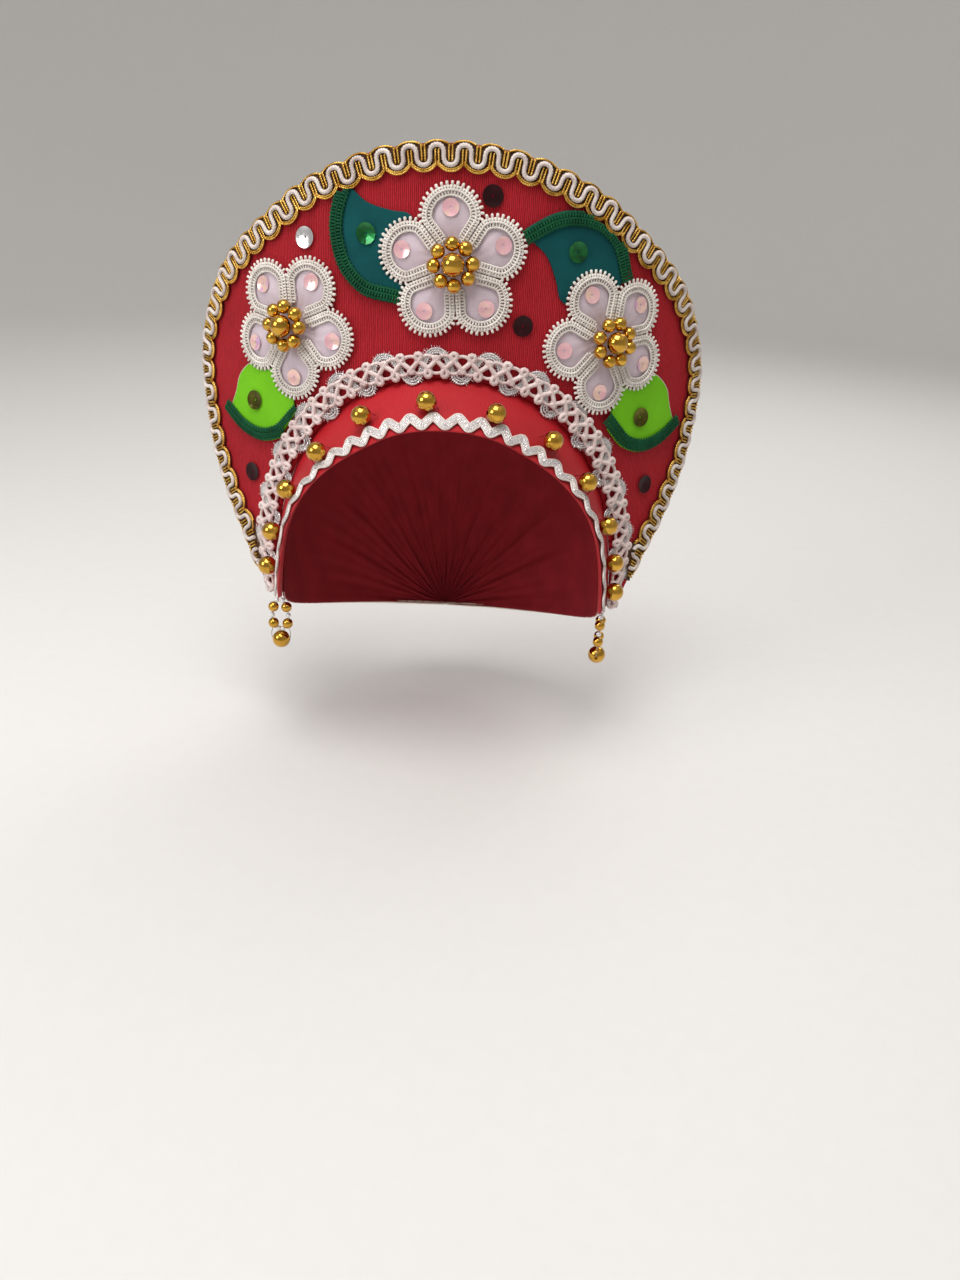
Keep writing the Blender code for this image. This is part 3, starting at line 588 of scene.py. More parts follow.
def settled(name, holder):
    """A plain mesh object of what a holder's modifiers make, and the holder removed."""
    graph = bpy.context.evaluated_depsgraph_get()
    graph.update()
    mesh = bpy.data.meshes.new_from_object(holder.evaluated_get(graph), preserve_all_data_layers=True, depsgraph=graph)
    mesh.name = name
    bpy.data.objects.remove(holder)
    return placed(name, mesh)


def holder_of(points, edges, **directions):
    """Loose points and edges, with a named direction at each point."""
    mesh = bpy.data.meshes.new("holder")
    mesh.from_pydata([tuple(p) for p in points], edges, [])
    for label, rows in directions.items():
        rows = np.array(np.broadcast_to(rows, (len(points), 3)), np.float32)
        mesh.attributes.new(label, "FLOAT_VECTOR", "POINT").data.foreach_set("vector", rows.ravel())
    return placed("holder", mesh)


def lines_holder(runs):
    """Lines as loose edges with the direction outwards at each point. A run is (points, outs, closed)."""
    points, outs, edges = [], [], []
    for line, out, closed in runs:
        base, count = len(points), len(line)
        points += list(line)
        outs += list(np.broadcast_to(out, (count, 3)))
        edges += [(base + k, base + k + 1) for k in range(count - 1)]
        if closed:
            edges.append((base + count - 1, base))
    return holder_of(points, edges, out=outs)


def with_tree(name, tree, holder, **inputs):
    change = holder.modifiers.new("tree", "NODES")
    change.node_group = tree
    set_inputs(change, {k.replace("_", " "): v for k, v in inputs.items()})
    return settled(name, holder)


# ---------------------------------------------------------------- finishes


def effect_group(name, *inputs, outputs=("Height", "Shade")):
    """A shared effect that takes a place and gives values."""
    inputs = (("Place", "Vector"), *((label, "Float", value) for label, value in inputs))
    return new_group(name, "ShaderNodeTree", inputs, tuple((label, "Float") for label in outputs))


def scaled_noise(w, place, *scale, detail):
    place = w.take("ShaderNodeVectorMath", {"operation": "MULTIPLY"}, i0=place, i1=scale)
    return w.take("ShaderNodeTexNoise", Vector=place, Scale=1.0, Detail=detail)


def blend(w, a, share, b, rest=None):
    """a times its share and b times the rest."""
    rest = 1 - share if rest is None else rest
    return w.math("ADD", w.math("MULTIPLY", a, share), w.math("MULTIPLY", b, rest))


def crepe_effect():
    """Fine uneven ribs that run up the cloth, with shadows between them."""
    w, given, out = effect_group("crepe", ("Rib", 0.0008), ("Unevenness", 0.5))
    place = given["Place"]
    sides = w.add("ShaderNodeSeparateXYZ", Vector=place).outputs
    wander = scaled_noise(w, place, 700, 130, 700, detail=2.0)
    ribs = w.math("ADD", w.math("DIVIDE", sides["X"], given["Rib"]), w.math("MULTIPLY", wander, given["Unevenness"]))
    wave = w.math("ABSOLUTE", w.math("SINE", w.math("MULTIPLY", ribs, pi)))
    height = blend(w, wave, 0.55, scaled_noise(w, place, 2600, 900, 2600, detail=1.0), 0.45)
    broad = w.take("ShaderNodeTexNoise", Vector=place, Scale=28.0, Detail=2.0)
    w.send(out, Height=height, Shade=blend(w, height, 0.75, broad))
    return w.tree


def weave_effect():
    """A plain weave: two sets of threads that pass over and under each other."""
    w, given, out = effect_group("weave", ("Thread", 0.0005))
    scale = w.math("DIVIDE", pi, given["Thread"])
    sides = w.add("ShaderNodeSeparateXYZ", Vector=given["Place"]).outputs
    x, y = w.math("MULTIPLY", sides["X"], scale), w.math("MULTIPLY", sides["Y"], scale)
    over = w.math("ABSOLUTE", w.math("MULTIPLY", w.math("SINE", x), w.math("SINE", y)))
    fine = w.take("ShaderNodeTexNoise", Vector=given["Place"], Scale=2600.0, Detail=2.0)
    height = blend(w, over, 0.7, fine, 0.3)
    broad = w.take("ShaderNodeTexNoise", Vector=given["Place"], Scale=60.0, Detail=3.0)
    w.send(out, Height=height, Shade=blend(w, height, 0.6, broad, 0.4))
    return w.tree


def fibres_effect():
    """The fine hairs and the dirt of age in a thread."""
    w, given, out = effect_group("fibres", ("Fineness", 2200.0))
    place, fineness = given["Place"], given["Fineness"]
    fine = w.take("ShaderNodeTexNoise", Vector=place, Scale=fineness, Detail=3.0, Roughness=0.7)
    knots = w.add("ShaderNodeTexVoronoi", Vector=place, Scale=w.math("MULTIPLY", fineness, 0.6)).outputs["Distance"]
    broad = w.take("ShaderNodeTexNoise", Vector=place, Scale=110.0, Detail=3.0)
    w.send(out, Height=blend(w, fine, 0.7, knots, 0.5), Shade=blend(w, fine, 0.5, broad))
    return w.tree


def glints_effect():
    """Small flakes that catch the light each in its own way, as lurex does."""
    w, given, out = effect_group("glints", ("Flakes", 2400.0), outputs=("Flake", "Height"))
    cells = w.add("ShaderNodeTexVoronoi", Vector=given["Place"], Scale=given["Flakes"])
    one = w.add("ShaderNodeSeparateColor", Color=cells.outputs["Color"]).outputs
    w.send(out, Flake=one[0], Height=one[1])
    return w.tree


CREPE, WEAVE, FIBRES, GLINTS = crepe_effect(), weave_effect(), fibres_effect(), glints_effect()


def new_finish(name, **constants):
    made = bpy.data.materials.new(name)
    made.use_nodes = True
    shader = made.node_tree.nodes["Principled BSDF"]
    for key, value in constants.items():
        shader.inputs[key.replace("_", " ")].default_value = value
    return made, Wires(made.node_tree), shader


def place_of(w, source):
    if source == "UV":
        return w.take("ShaderNodeUVMap", {"uv_map": "UVMap"})
    return w.add("ShaderNodeTexCoord").outputs["Object"]


def ramp(w, value, *stops):
    node = w.add("ShaderNodeValToRGB", Fac=value)
    elements = node.color_ramp.elements
    while len(elements) < len(stops):
        elements.new(0.5)
    for element, (at, color) in zip(elements, stops):
        element.position, element.color = at, (*color, 1.0)
    return node.outputs[0]


def spread_over(w, value, low, high, bottom, top):
    """A value between bottom and top, from one between low and high."""
    return w.take("ShaderNodeMapRange", Value=value, From_Min=low, From_Max=high, To_Min=bottom, To_Max=top)


def relief(w, height, distance, strength=1.0):
    return w.take("ShaderNodeBump", Strength=strength, Distance=distance, Height=height)


def dressed(
    name, effect, low, high, bump, source="Object", spread=(0.3, 0.7), rough=(0.7, 0.9), settings=None, **constants
):
    """A cloth or thread: its colour between low and high by the effect's shade, its bump's height in metres."""
    made, w, shader = new_finish(name, **constants)
    group = w.add("ShaderNodeGroup", {"node_tree": effect}, Place=place_of(w, source), **(settings or {})).outputs
    shade = group["Shade"]
    w.send(
        shader, Base_Color=ramp(w, shade, (spread[0], low), (spread[1], high)),
        Roughness=spread_over(w, shade, 0.2, 0.8, rough[1], rough[0]), Normal=relief(w, group["Height"], bump),
    )
    return made


def lurex(name, low, high, **constants):
    """A thread with bright metal flakes in it."""
    made, w, shader = new_finish(name, **constants)
    place = place_of(w, "Object")
    glint = w.add("ShaderNodeGroup", {"node_tree": GLINTS}, Place=place, Flakes=2300.0).outputs
    hairs = w.add("ShaderNodeGroup", {"node_tree": FIBRES}, Place=place, Fineness=1500.0).outputs
    flake, height = glint["Flake"], blend(w, glint["Height"], 0.7, hairs["Height"], 0.4)
    w.send(
        shader, Base_Color=ramp(w, flake, (0.15, low), (0.85, high)),
        Roughness=spread_over(w, flake, 0.0, 1.0, 0.5, 0.16),
        Metallic=spread_over(w, flake, 0.3, 0.9, 0.15, 1.0), Normal=relief(w, height, 0.00025),
    )
    return made


def foil(name, low, high, scratch=900.0, rough=(0.1, 0.28), **constants):
    """A shiny film or plated bead, with faint clouds and fine scratches."""
    made, w, shader = new_finish(name, **constants)
    place = place_of(w, "Object")
    cloud = w.take("ShaderNodeTexNoise", Vector=place, Scale=220.0, Detail=3.0)
    fine = w.take("ShaderNodeTexNoise", Vector=place, Scale=scratch, Detail=4.0)
    w.send(
        shader, Base_Color=ramp(w, cloud, (0.3, low), (0.7, high)), Roughness=spread_over(w, fine, 0.3, 0.7, *rough),
        Normal=relief(w, fine, 0.00004, 0.6),
    )
    return made


def pearly(name, *stops):
    """A film that changes its colour with the angle it is seen at, as pink sequins do."""
    made, w, shader = new_finish(name, Metallic=0.35, Roughness=0.18, Coat_Weight=1.0, Coat_Roughness=0.08)
    facing = w.add("ShaderNodeLayerWeight", Blend=0.45).outputs["Facing"]
    cloud = w.take("ShaderNodeTexNoise", Vector=place_of(w, "Object"), Scale=260.0, Detail=1.0)
    mixed = w.math("ADD", facing, w.math("MULTIPLY", w.math("SUBTRACT", cloud, 0.5), 0.9))
    w.send(shader, Base_Color=ramp(w, mixed, *stops), Normal=relief(w, cloud, 0.0001, 0.5))
    return made


RED_CREPE = dressed(
    "red_crepe", CREPE, (0.17, 0.003, 0.006), (0.5, 0.013, 0.024), 0.0004, "UV", (0.3, 0.72),
    settings={"Rib": 0.00095, "Unevenness": 0.9}, Specular_IOR_Level=0.25,
)
RED_SATIN = dressed(
    "red_satin", CREPE, (0.3, 0.006, 0.01), (0.5, 0.012, 0.02), 0.00012, "UV", (0.2, 0.8), (0.42, 0.6),
    settings={"Rib": 0.0009, "Unevenness": 0.7}, Specular_IOR_Level=0.35,
)
RED_BACKING = dressed(
    "red_backing", WEAVE, (0.24, 0.006, 0.01), (0.4, 0.01, 0.018), 0.00006, "UV", (0.2, 0.8),
    settings={"Thread": 0.0005}, Specular_IOR_Level=0.25,
)
RED_LINING = dressed(
    "red_lining", WEAVE, (0.17, 0.006, 0.011), (0.34, 0.012, 0.02), 0.00015, "UV", (0.3, 0.75),
    settings={"Thread": 0.0006}, Specular_IOR_Level=0.2,
)
WHITE_CORD = dressed(
    "white_cord", FIBRES, (0.55, 0.42, 0.38), (0.88, 0.8, 0.75), 0.00025, spread=(0.3, 0.62), Sheen_Weight=0.3
)
PINK_CORD = dressed(
    "pinkish_cord", FIBRES, (0.6, 0.42, 0.4), (0.9, 0.77, 0.74), 0.0002, spread=(0.3, 0.62), Sheen_Weight=0.3
)
CREAM_CORD = dressed(
    "cream_cord", FIBRES, (0.56, 0.49, 0.43), (0.92, 0.87, 0.81), 0.0003, spread=(0.3, 0.6), Sheen_Weight=0.3
)
GOLD_THREAD = foil("gold_thread", (0.42, 0.19, 0.02), (0.98, 0.62, 0.15), 1800.0, (0.14, 0.36), Metallic=1.0)
DARK_GOLD = dressed("dark_gold_ground", WEAVE, (0.035, 0.012, 0.003), (0.16, 0.065, 0.012), 0.0002, spread=(0.3, 0.7))
SILVER_LUREX = lurex("silver_lurex", (0.66, 0.6, 0.6), (1.0, 0.98, 0.97))
PALE_SATIN = dressed(
    "pale_satin", WEAVE, (0.5, 0.39, 0.45), (0.76, 0.66, 0.72), 0.00004, "UV", (0.25, 0.75), (0.28, 0.42),
    settings={"Thread": 0.0003}, Sheen_Weight=0.2, Anisotropic=0.4,
)
GOLD_BEAD = foil(
    "gold_beads", (0.51, 0.26, 0.018), (0.73, 0.41, 0.04), rough=(0.06, 0.14), Metallic=1.0, Coat_Weight=0.6,
    Coat_Roughness=0.05,
)
SILVER_BEAD = foil("silver_beads", (0.75, 0.76, 0.78), (0.95, 0.95, 0.96), Metallic=0.45)
TEAL_CLOTH = dressed(
    "teal_cloth", WEAVE, (0.0, 0.04, 0.045), (0.003, 0.13, 0.135), 0.0002, "UV", (0.25, 0.75),
    settings={"Thread": 0.00045}, Specular_IOR_Level=0.2,
)
LIME_CLOTH = dressed(
    "lime_cloth", WEAVE, (0.12, 0.42, 0.004), (0.22, 0.66, 0.012), 0.00008, "UV", (0.2, 0.8),
    settings={"Thread": 0.0004}, Specular_IOR_Level=0.25,
)
GREEN_CORD = dressed(
    "green_cord", FIBRES, (0.002, 0.035, 0.015), (0.009, 0.12, 0.045), 0.0003, spread=(0.3, 0.65),
    Specular_IOR_Level=0.2,
)
PALE_EDGE = dressed("pale_thread", FIBRES, (0.4, 0.3, 0.22), (0.8, 0.68, 0.56), 0.0002, spread=(0.3, 0.6))
RED_THREAD = dressed("red_thread", FIBRES, (0.12, 0.004, 0.008), (0.36, 0.012, 0.02), 0.0002, spread=(0.3, 0.6))
PINK_SEQUIN = pearly(
    "pink_sequin", (0.0, (0.9, 0.5, 0.56)), (0.3, (0.95, 0.66, 0.52)), (0.55, (0.8, 0.4, 0.75)),
    (0.85, (0.6, 0.75, 0.8)),
)
SILVER_SEQUIN = foil("silver_sequin", (0.8, 0.8, 0.82), (0.98, 0.98, 1.0), Metallic=1.0)
DARK_RED_SEQUIN = foil(
    "dark_red_sequin", (0.012, 0.001, 0.002), (0.03, 0.002, 0.004), rough=(0.3, 0.45), Specular_IOR_Level=0.2
)
GREEN_SEQUIN = foil("green_sequin", (0.001, 0.06, 0.012), (0.01, 0.24, 0.05), Metallic=0.8, Coat_Weight=0.5)
OLIVE_SEQUIN = foil("olive_sequin", (0.05, 0.05, 0.006), (0.16, 0.15, 0.02), Metallic=0.8)
PALE_FLOOR = dressed("pale_floor", FIBRES, (0.70, 0.685, 0.67), (0.72, 0.705, 0.69), 0.0, spread=(0.3, 0.7))


# ---------------------------------------------------------------- the pieces


def keep(piece, slot, *nodes):
    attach(piece, "root")
    if nodes:
        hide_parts(*nodes)
    return piece


def joined(name, parts):
    with bpy.context.temp_override(active_object=parts[0], selected_editable_objects=parts, selected_objects=parts):
        bpy.ops.object.join()
    parts[0].name = parts[0].data.name = name
    return parts[0]


CORD_TREE, ROW_TREE, POINTS_TREE = twisted_cord_tree(), sewn_tree("sewn_row", True), sewn_tree("sewn_points", False)


def cord_lines(name, runs, thick, look, strands=3, depth=0.25, twist=None, step=0.0006, sides=10):
    return with_tree(
        name, CORD_TREE, lines_holder(runs), Thickness=thick, Strands=strands, Depth_of_twist=depth,
        Twist_length=twist or thick * 2.2, Step=step, Sides=sides, Finish=look,
    )


def sewn(name, tree, holder, shape, look, uneven_by, seed, **inputs):
    """Copies of a small shape, which is used up."""
    made = with_tree(name, tree, holder, Piece=shape, Uneven=uneven_by, Seed=seed, Finish=look, **inputs)
    bpy.data.objects.remove(shape)
    return made


def sewn_row(name, runs, shape, spacing, look, uneven_by=0.08, seed=1):
    return sewn(name, ROW_TREE, lines_holder(runs), shape, look, uneven_by, seed, Spacing=spacing)


def sewn_points(name, points, outs, ways, shape, look, uneven_by=0.0, seed=1):
    return sewn(name, POINTS_TREE, holder_of(points, [], out=outs, way=ways), shape, look, uneven_by, seed)


def sewn_beads(name, points, outs, ways, size, hole, look, uneven_by=0.0, seed=1):
    return sewn_points(name, points, outs, ways, bead_shape("bead", size, hole, look), look, uneven_by, seed)


def thread_lines(name, runs, thick, look, step=0.5 * MM):
    """Thin sewing thread."""
    return cord_lines(name, runs, thick, look, 2, 0.3, 1.2 * MM, step, 6)


def braid(name, laid, look, cords, stitches, seed, bow=0.0):
    """A flat braid of twisted cords and rows of stitches across it, from tables in millimetres."""
    parts = []
    for inset, height, thick, depth, twist, step in cords:
        parts.append(cord_lines("cord", laid(inset, height), thick * MM, look, 2, depth, twist * MM, step * MM, 8))
    for inset, height, long, thick, apart in stitches:
        stitch = capsule_shape("stitch", long * MM, thick * MM, look, bow)
        parts.append(sewn_row("stitches", laid(inset, height), stitch, apart * MM, look, 0.1, seed))
    return joined(name, parts)


def spot(across, up):
    return across * BOARD_HALF_WIDTH, up * BOARD_HEIGHT


def lace_outer(share):
    across, up, _, _ = ARCH.at(share)
    return np.minimum(GAP + LACE_WIDTH, (EDGE.across_at(up) - np.abs(across)) * LACE_SHARE + LACE_PAST)


def nearest(rail, across, up, count=700):
    """How far flat places are from a rail, and the share of the rail that is nearest."""
    share = np.linspace(0, 1, count)
    x, y, _, _ = rail.at(share)
    far = np.hypot(np.abs(across)[:, None] - x, up[:, None] - y)
    index = far.argmin(axis=1)
    return far[np.arange(len(far)), index], share[index]


def off_lace(across, up, spare):
    far, share = nearest(ARCH, across, up)
    return far > lace_outer(share) + spare


def off_edge_braid(across, up, spare):
    return nearest(EDGE, across, up)[0] > EDGE_BRAID_WIDTH - EDGE_BRAID_OVERHANG + spare


def lobe(angle, rounding):
    middle = FLOWER_RADIUS - PETAL_ROUND
    return middle * np.cos(angle) + np.sqrt(np.maximum(0.0, rounding**2 - (middle * np.sin(angle)) ** 2))


def off_flowers(across, up, spare):
    clear = np.ones(len(across), bool)
    for _, a, b, turn in FLOWERS:
        x, y = spot(a, b)
        angle = (np.arctan2(across - x, up - y) + turn + VALLEY) % (2 * VALLEY) - VALLEY
        clear &= np.hypot(across - x, up - y) > lobe(angle, PETAL_ROUND) + spare
    return clear


def clipped(across, up, *tests):
    """The stretches of a flat line that pass all tests, as lists of indices."""
    good = np.ones(len(across), bool)
    for test, spare in tests:
        good &= test(across, up, spare)
    index = np.flatnonzero(good)
    return [run for run in np.split(index, np.flatnonzero(np.diff(index) > 1) + 1) if len(run) > 3]


def board_runs(lines, height, *tests):
    """Runs for a cord tree from flat lines on the board, cut where they pass under other trims."""
    runs = []
    for line in lines:
        closed = len(line) > 2 and np.allclose(line[0], line[-1])
        line = np.asarray(line)
        for index in clipped(line[:, 0], line[:, 1], *tests):
            whole = closed and len(index) == len(line)
            index = index[:-1] if whole else index
            part = line[index]
            runs.append((on_board(part[:, 0], part[:, 1], height), board_out(part[:, 0]), whole))
    return runs


def board_sheet(name, flat, high, low, look, uv, **edge):
    """A sheet of cloth on the board, from a grid of flat places and the heights of its two faces."""
    across, up = flat[..., 0], flat[..., 1]
    return cloth_sheet(name, on_board(across, up, high), on_board(across, up, low), look, uv, **edge)


def make_board():
    shares, rows = np.linspace(-1, 1, 301), np.linspace(0, 1, 41)
    (a, b), (c, d) = ARCH.at(shares)[:2], EDGE.at(shares)[:2]
    across, up = a[:, None] + (c - a)[:, None] * rows, b[:, None] + (d - b)[:, None] * rows
    bumps, flat = 0.12 * MM * uneven(across * 1.3, up * 1.3), np.stack([across, up], -1)
    high, low = bumps - 0.12 * MM, bumps - BOARD_WALL
    board = board_sheet("fan_board_cloth", flat, high, low, RED_CREPE, flat, round_edge=0.28)
    board.data.materials.append(RED_BACKING)
    for face in board.data.polygons:
        if face.normal.y > 0.3 and face.area > 1e-6:
            face.material_index = 1
    return board


def make_headband():
    shares, rows = np.linspace(-1, 1, 281), np.linspace(0, BAND_DEPTH, 25)
    share, forward = np.broadcast_arrays(shares[:, None], rows)
    bumps = 0.16 * MM * uneven(share * 0.19, forward * 2.2)
    front = on_band(share, forward, bumps - 0.1 * MM + 0.34 * MM * np.clip(2 - forward / (3 * MM), 0, 1))
    thin = np.clip((forward - BAND_DEPTH + 7 * MM) / (7 * MM), 0, 1) ** 1.5 * 1.6 * MM
    back = on_band(share, forward, bumps * 0.5 - BAND_WALL + thin)
    place_on = np.stack([share * ARCH.half_length, forward], -1)
    return cloth_sheet("headband_cloth", front, back, RED_SATIN, place_on, round_edge=0.4)


def make_cap():
    shares, turns = np.linspace(-1, 1, 321), np.linspace(0, pi / 2, 49)
    share, turn = np.broadcast_arrays(shares[:, None], turns)
    wide, fine = 0.5 * np.sin(share * 71 + 2 * np.sin(turn * 5)), 0.4 * np.sin(share * 117 + 1.3)
    gathers = np.sin(turn) ** 2 * (wide + fine) * MM
    gathers = gathers * np.clip((pi / 2 - turn) * 6 + 0.25, 0, 1)
    faces = []
    for height in (0.0, -CAP_WALL):
        front = on_band(shares[:, None], np.linspace(CAP_FRONT, 0, 6)[:-1], height - BAND_WALL - GAP)
        back = place(cap_local(share, turn, height + gathers - 0.1 * MM))
        faces.append(np.concatenate([front, back], axis=1))
    far = far_along(faces[0][len(shares) // 2])
    uv = np.stack(np.broadcast_arrays(shares[:, None] * ARCH.half_length, far), -1)
    cap = cloth_sheet("cap_cloth", *faces, RED_LINING, uv, round_edge=0.5)
    runs = []
    for row, inner in ((1, 5), (-2, -6)):
        line = (faces[0][row] + faces[1][row]) / 2
        out = unit(faces[0][row] - faces[1][row])
        beside = unit(line[3:] - faces[0][inner][3:]) * 0.6 * MM
        runs.append((line[3:] + beside, out[3:], False))
    hem = capsule_shape("hem_stitch", 2.4 * MM, 0.7 * MM, PALE_EDGE)
    stitches = sewn_row("cap_hem_stitches", runs, hem, 1.1 * MM, PALE_EDGE, 0.15)
    return cap, stitches


def edge_line(share, w):
    middle = EDGE_BRAID_OVERHANG - EDGE_BRAID_WIDTH / 2
    across, up = EDGE.beside(share, middle + w)
    return np.stack([across, up], -1)


def make_edge_braid():
    length = 2 * EDGE.half_length * EDGE_BRAID_END
    waves, period, t = swings(length, EDGE_BRAID_PERIOD, 48)
    along = period * t / (2 * pi) - 1.0 * MM * np.sin(2 * t)
    share = lambda s: (s - length / 2) / EDGE.half_length
    clear = ((off_lace, 0.7 * MM),)
    turns = np.linspace(0, 2 * pi * waves, waves * 20 + 1)
    outside, inside = (np.abs((turns / pi - at + 1) % 2 - 1) for at in (0.5, 1.5))
    reach = np.stack([-(6.5 * MM - 2.9 * MM * inside**2.3), 5.7 * MM - 1.7 * MM * outside**2.3], -1)
    across_it = reach[:, :1] + (reach[:, 1:] - reach[:, :1]) * np.linspace(0, 1, 9)
    flat = edge_line(share(period * turns / (2 * pi))[:, None], across_it)
    shown = off_lace(flat[:, 4, 0], flat[:, 4, 1], -1.5 * MM)
    flat, place_on = flat[shown], np.stack(np.broadcast_arrays(turns[:, None] * 0.002, across_it), -1)[shown]
    low = GAP + EDGE_GROUND
    base = board_sheet("edge_braid_ground", flat, low, GAP, DARK_GOLD, place_on, round_edge=0.4)
    keep(base, "gold_and_white_braid", "edge_braid")
    runs = board_runs([edge_line(share(along), EDGE_WAVE * np.sin(t))], low + EDGE_CORD / 2 - 0.15 * MM, *clear)
    white = cord_lines("edge_braid_cord", runs, EDGE_CORD, WHITE_CORD, 4, 0.26, 4.4 * MM, 0.5 * MM, 12)
    keep(white, "gold_and_white_braid", "edge_braid")
    bars, arcs, outer = [], [], []
    for k in range(2 * waves):
        side = 1 if k % 2 == 0 else -1  # crests point outwards
        middle = period * (0.25 + k / 2)
        for step in (-0.8, 0.8):
            w = np.linspace(-(EDGE_WAVE + 0.6 * MM), EDGE_WAVE - 1.7 * MM, 14) * side
            bars.append(edge_line(share(middle + step * MM + 0 * w), w))
        u = np.linspace(-1, 1, 21)
        if side < 0:
            for off, lift in ((1.6, 3.2), (2.6, 3.3)):
                w = -(EDGE_WAVE + off * MM) + lift * MM * np.abs(u) ** 2.3
                arcs.append(edge_line(share(middle + u * period / 2), w))
        else:
            w = EDGE_WAVE + 1.7 * MM - 2.1 * MM * np.abs(u) ** 2.3
            outer.append(edge_line(share(middle + u * period / 2), w))
    gold = [
        cord_lines("gold", board_runs(lines, height, *clear), thick, GOLD_THREAD, 2, 0.25, 2.2 * MM, 0.6 * MM, 8)
        for lines, height, thick in (
            (bars, low + 0.75 * MM, EDGE_GOLD), (arcs, GAP + 1.2 * MM, EDGE_GOLD), (outer, GAP + 1.1 * MM, 1.1 * MM)
        )
    ]
    keep(joined("edge_braid_gold", gold), "gold_and_white_braid", "edge_braid")


def lace_out(share, y, fold=0.0):
    """How far out from the arch a place on the lace is, y from its middle, the lace widened inwards by a fold."""
    wide = lace_outer(share) - GAP
    return (np.asarray(y) / (LACE_WIDTH + fold) + 0.5) * (wide + fold) - fold


def lace_line(share, y, fold=0.0):
    return np.stack(ARCH.beside(share, GAP + lace_out(share, y, fold)), -1)


def lace_runs(lines, height, *tests):
    """Runs for a cord tree on the lace, whose inner edge is folded over the joint onto the headband."""
    runs = []
    for share, y in lines:
        flat, out = lace_line(share, y, LACE_FOLD), lace_out(share, y, LACE_FOLD)
        turn = np.clip((LACE_TURN - out) / (2 * LACE_TURN), 0, 1)[:, None]
        across, up = ARCH.beside(share, GAP + np.maximum(out, 0))
        forward = BOARD_WALL + height * 0.6 + LACE_TURN * 0.5 + np.maximum(-out, 0)
        points = on_board(across, up, height) * (1 - turn) + on_band(share, forward, height) * turn
        outs = unit(board_out(across) * (1 - turn) + band_outward(share, 6 * MM) * turn)
        runs += [(points[index], outs[index], False) for index in clipped(flat[:, 0], flat[:, 1], *tests)]
    return runs


def make_lace():
    length = 2 * ARCH.half_length
    waves, period, t = swings(length, LACE_PERIOD, 64)
    share = lambda s: np.clip((s - length / 2) / ARCH.half_length, -1, 1)
    clear = ((off_flowers, -0.8 * MM),)
    along = period * t / (2 * pi)
    arches = []
    for off in (-1.0 * MM, 0.0, 1.0 * MM):
        flat = shifted(np.stack([along - 0.7 * MM * np.sin(2 * t), LACE_WAVE * np.sin(t)], -1), off)
        arches.append((share(flat[:, 0]), flat[:, 1]))
    runs = lace_runs(arches, GAP + LACE_LUREX / 2, *clear)
    lurex_cord = cord_lines("lace_lurex", runs, LACE_LUREX, SILVER_LUREX, 2, 0.22, 2 * MM, 0.6 * MM, 8)
    keep(lurex_cord, "white_lace", "lace_trim")
    loops = 3 * waves
    p = np.linspace(0, 2 * pi * loops, loops * 40 + 1)
    middle = length / loops * p / (2 * pi)
    inside = np.clip(-np.sin(p) * np.sin(p / 3), 0, 1)  # 1 where a loop lies inside an arch
    for name, swing, y, height, thick, step, sides in (
        ("lace_vine", 2.2 * MM, -(5.3 - 1.9 * inside**2) * MM, 1.55 * MM, LACE_VINE, 0.55 * MM, 9),
        ("lace_under_vine", -1.8 * MM, 4.3 * MM, 0.95 * MM, LACE_UNDER_VINE, 0.6 * MM, 8),
    ):
        runs = lace_runs([(share(middle + swing * np.sin(2 * p)), y * np.sin(p))], GAP + height, *clear)
        keep(cord_lines(name, runs, thick, PINK_CORD, 3, 0.2, 3 * MM, step, sides), "white_lace", "lace_trim")
    hair = capsule_shape("hair", 2.8 * MM, 0.22 * MM, SILVER_LUREX, bow=0.3 * MM)
    hairs = lace_runs([arches[0], arches[2]], GAP + 1.0 * MM, *clear)
    keep(sewn_row("lace_hairs", hairs, hair, 1.1 * MM, SILVER_LUREX, 0.5, 5), "white_lace", "lace_trim")


def make_ric_rac():
    length = 2 * ARCH.half_length
    _, period, t = swings(length, RIC_RAC_PERIOD, 40)
    along, t = period * t / (2 * pi), t - pi / 2
    wave = RIC_RAC_WAVE * (np.sin(t) - 0.08 * np.sin(3 * t))
    slope = np.gradient(wave, along)
    lean = np.arctan(slope) * 0.72
    white, silver = [], []
    for k in range(RIC_RAC_STRANDS):
        off = (k - (RIC_RAC_STRANDS - 1) / 2) * RIC_RAC_STRAND_STEP
        s, w = along - off * np.sin(lean), wave + off * np.cos(lean)
        share = np.clip((s - length / 2) / ARCH.half_length, -0.999, 0.999)
        forward = BAND_DEPTH - RIC_RAC_INSET + w + RIC_RAC_FORWARD
        rise = BAND_TRIM_GAP + 0.5 * MM + 0.15 * MM * (1 - (off / (2.4 * MM)) ** 2)
        run = (on_band(share, forward, rise), band_outward(share, forward), False)
        (white if k in (0, RIC_RAC_STRANDS - 1) else silver).append(run)
    for name, runs, thick, look in (
        ("ric_rac_edges", white, 1.18 * MM, WHITE_CORD), ("ric_rac_tape", silver, 1.16 * MM, SILVER_LUREX)
    ):
        keep(cord_lines(name, runs, thick, look, 2, 0.25, 2 * MM, 0.55 * MM, 8), "silver_tape", "ric_rac")


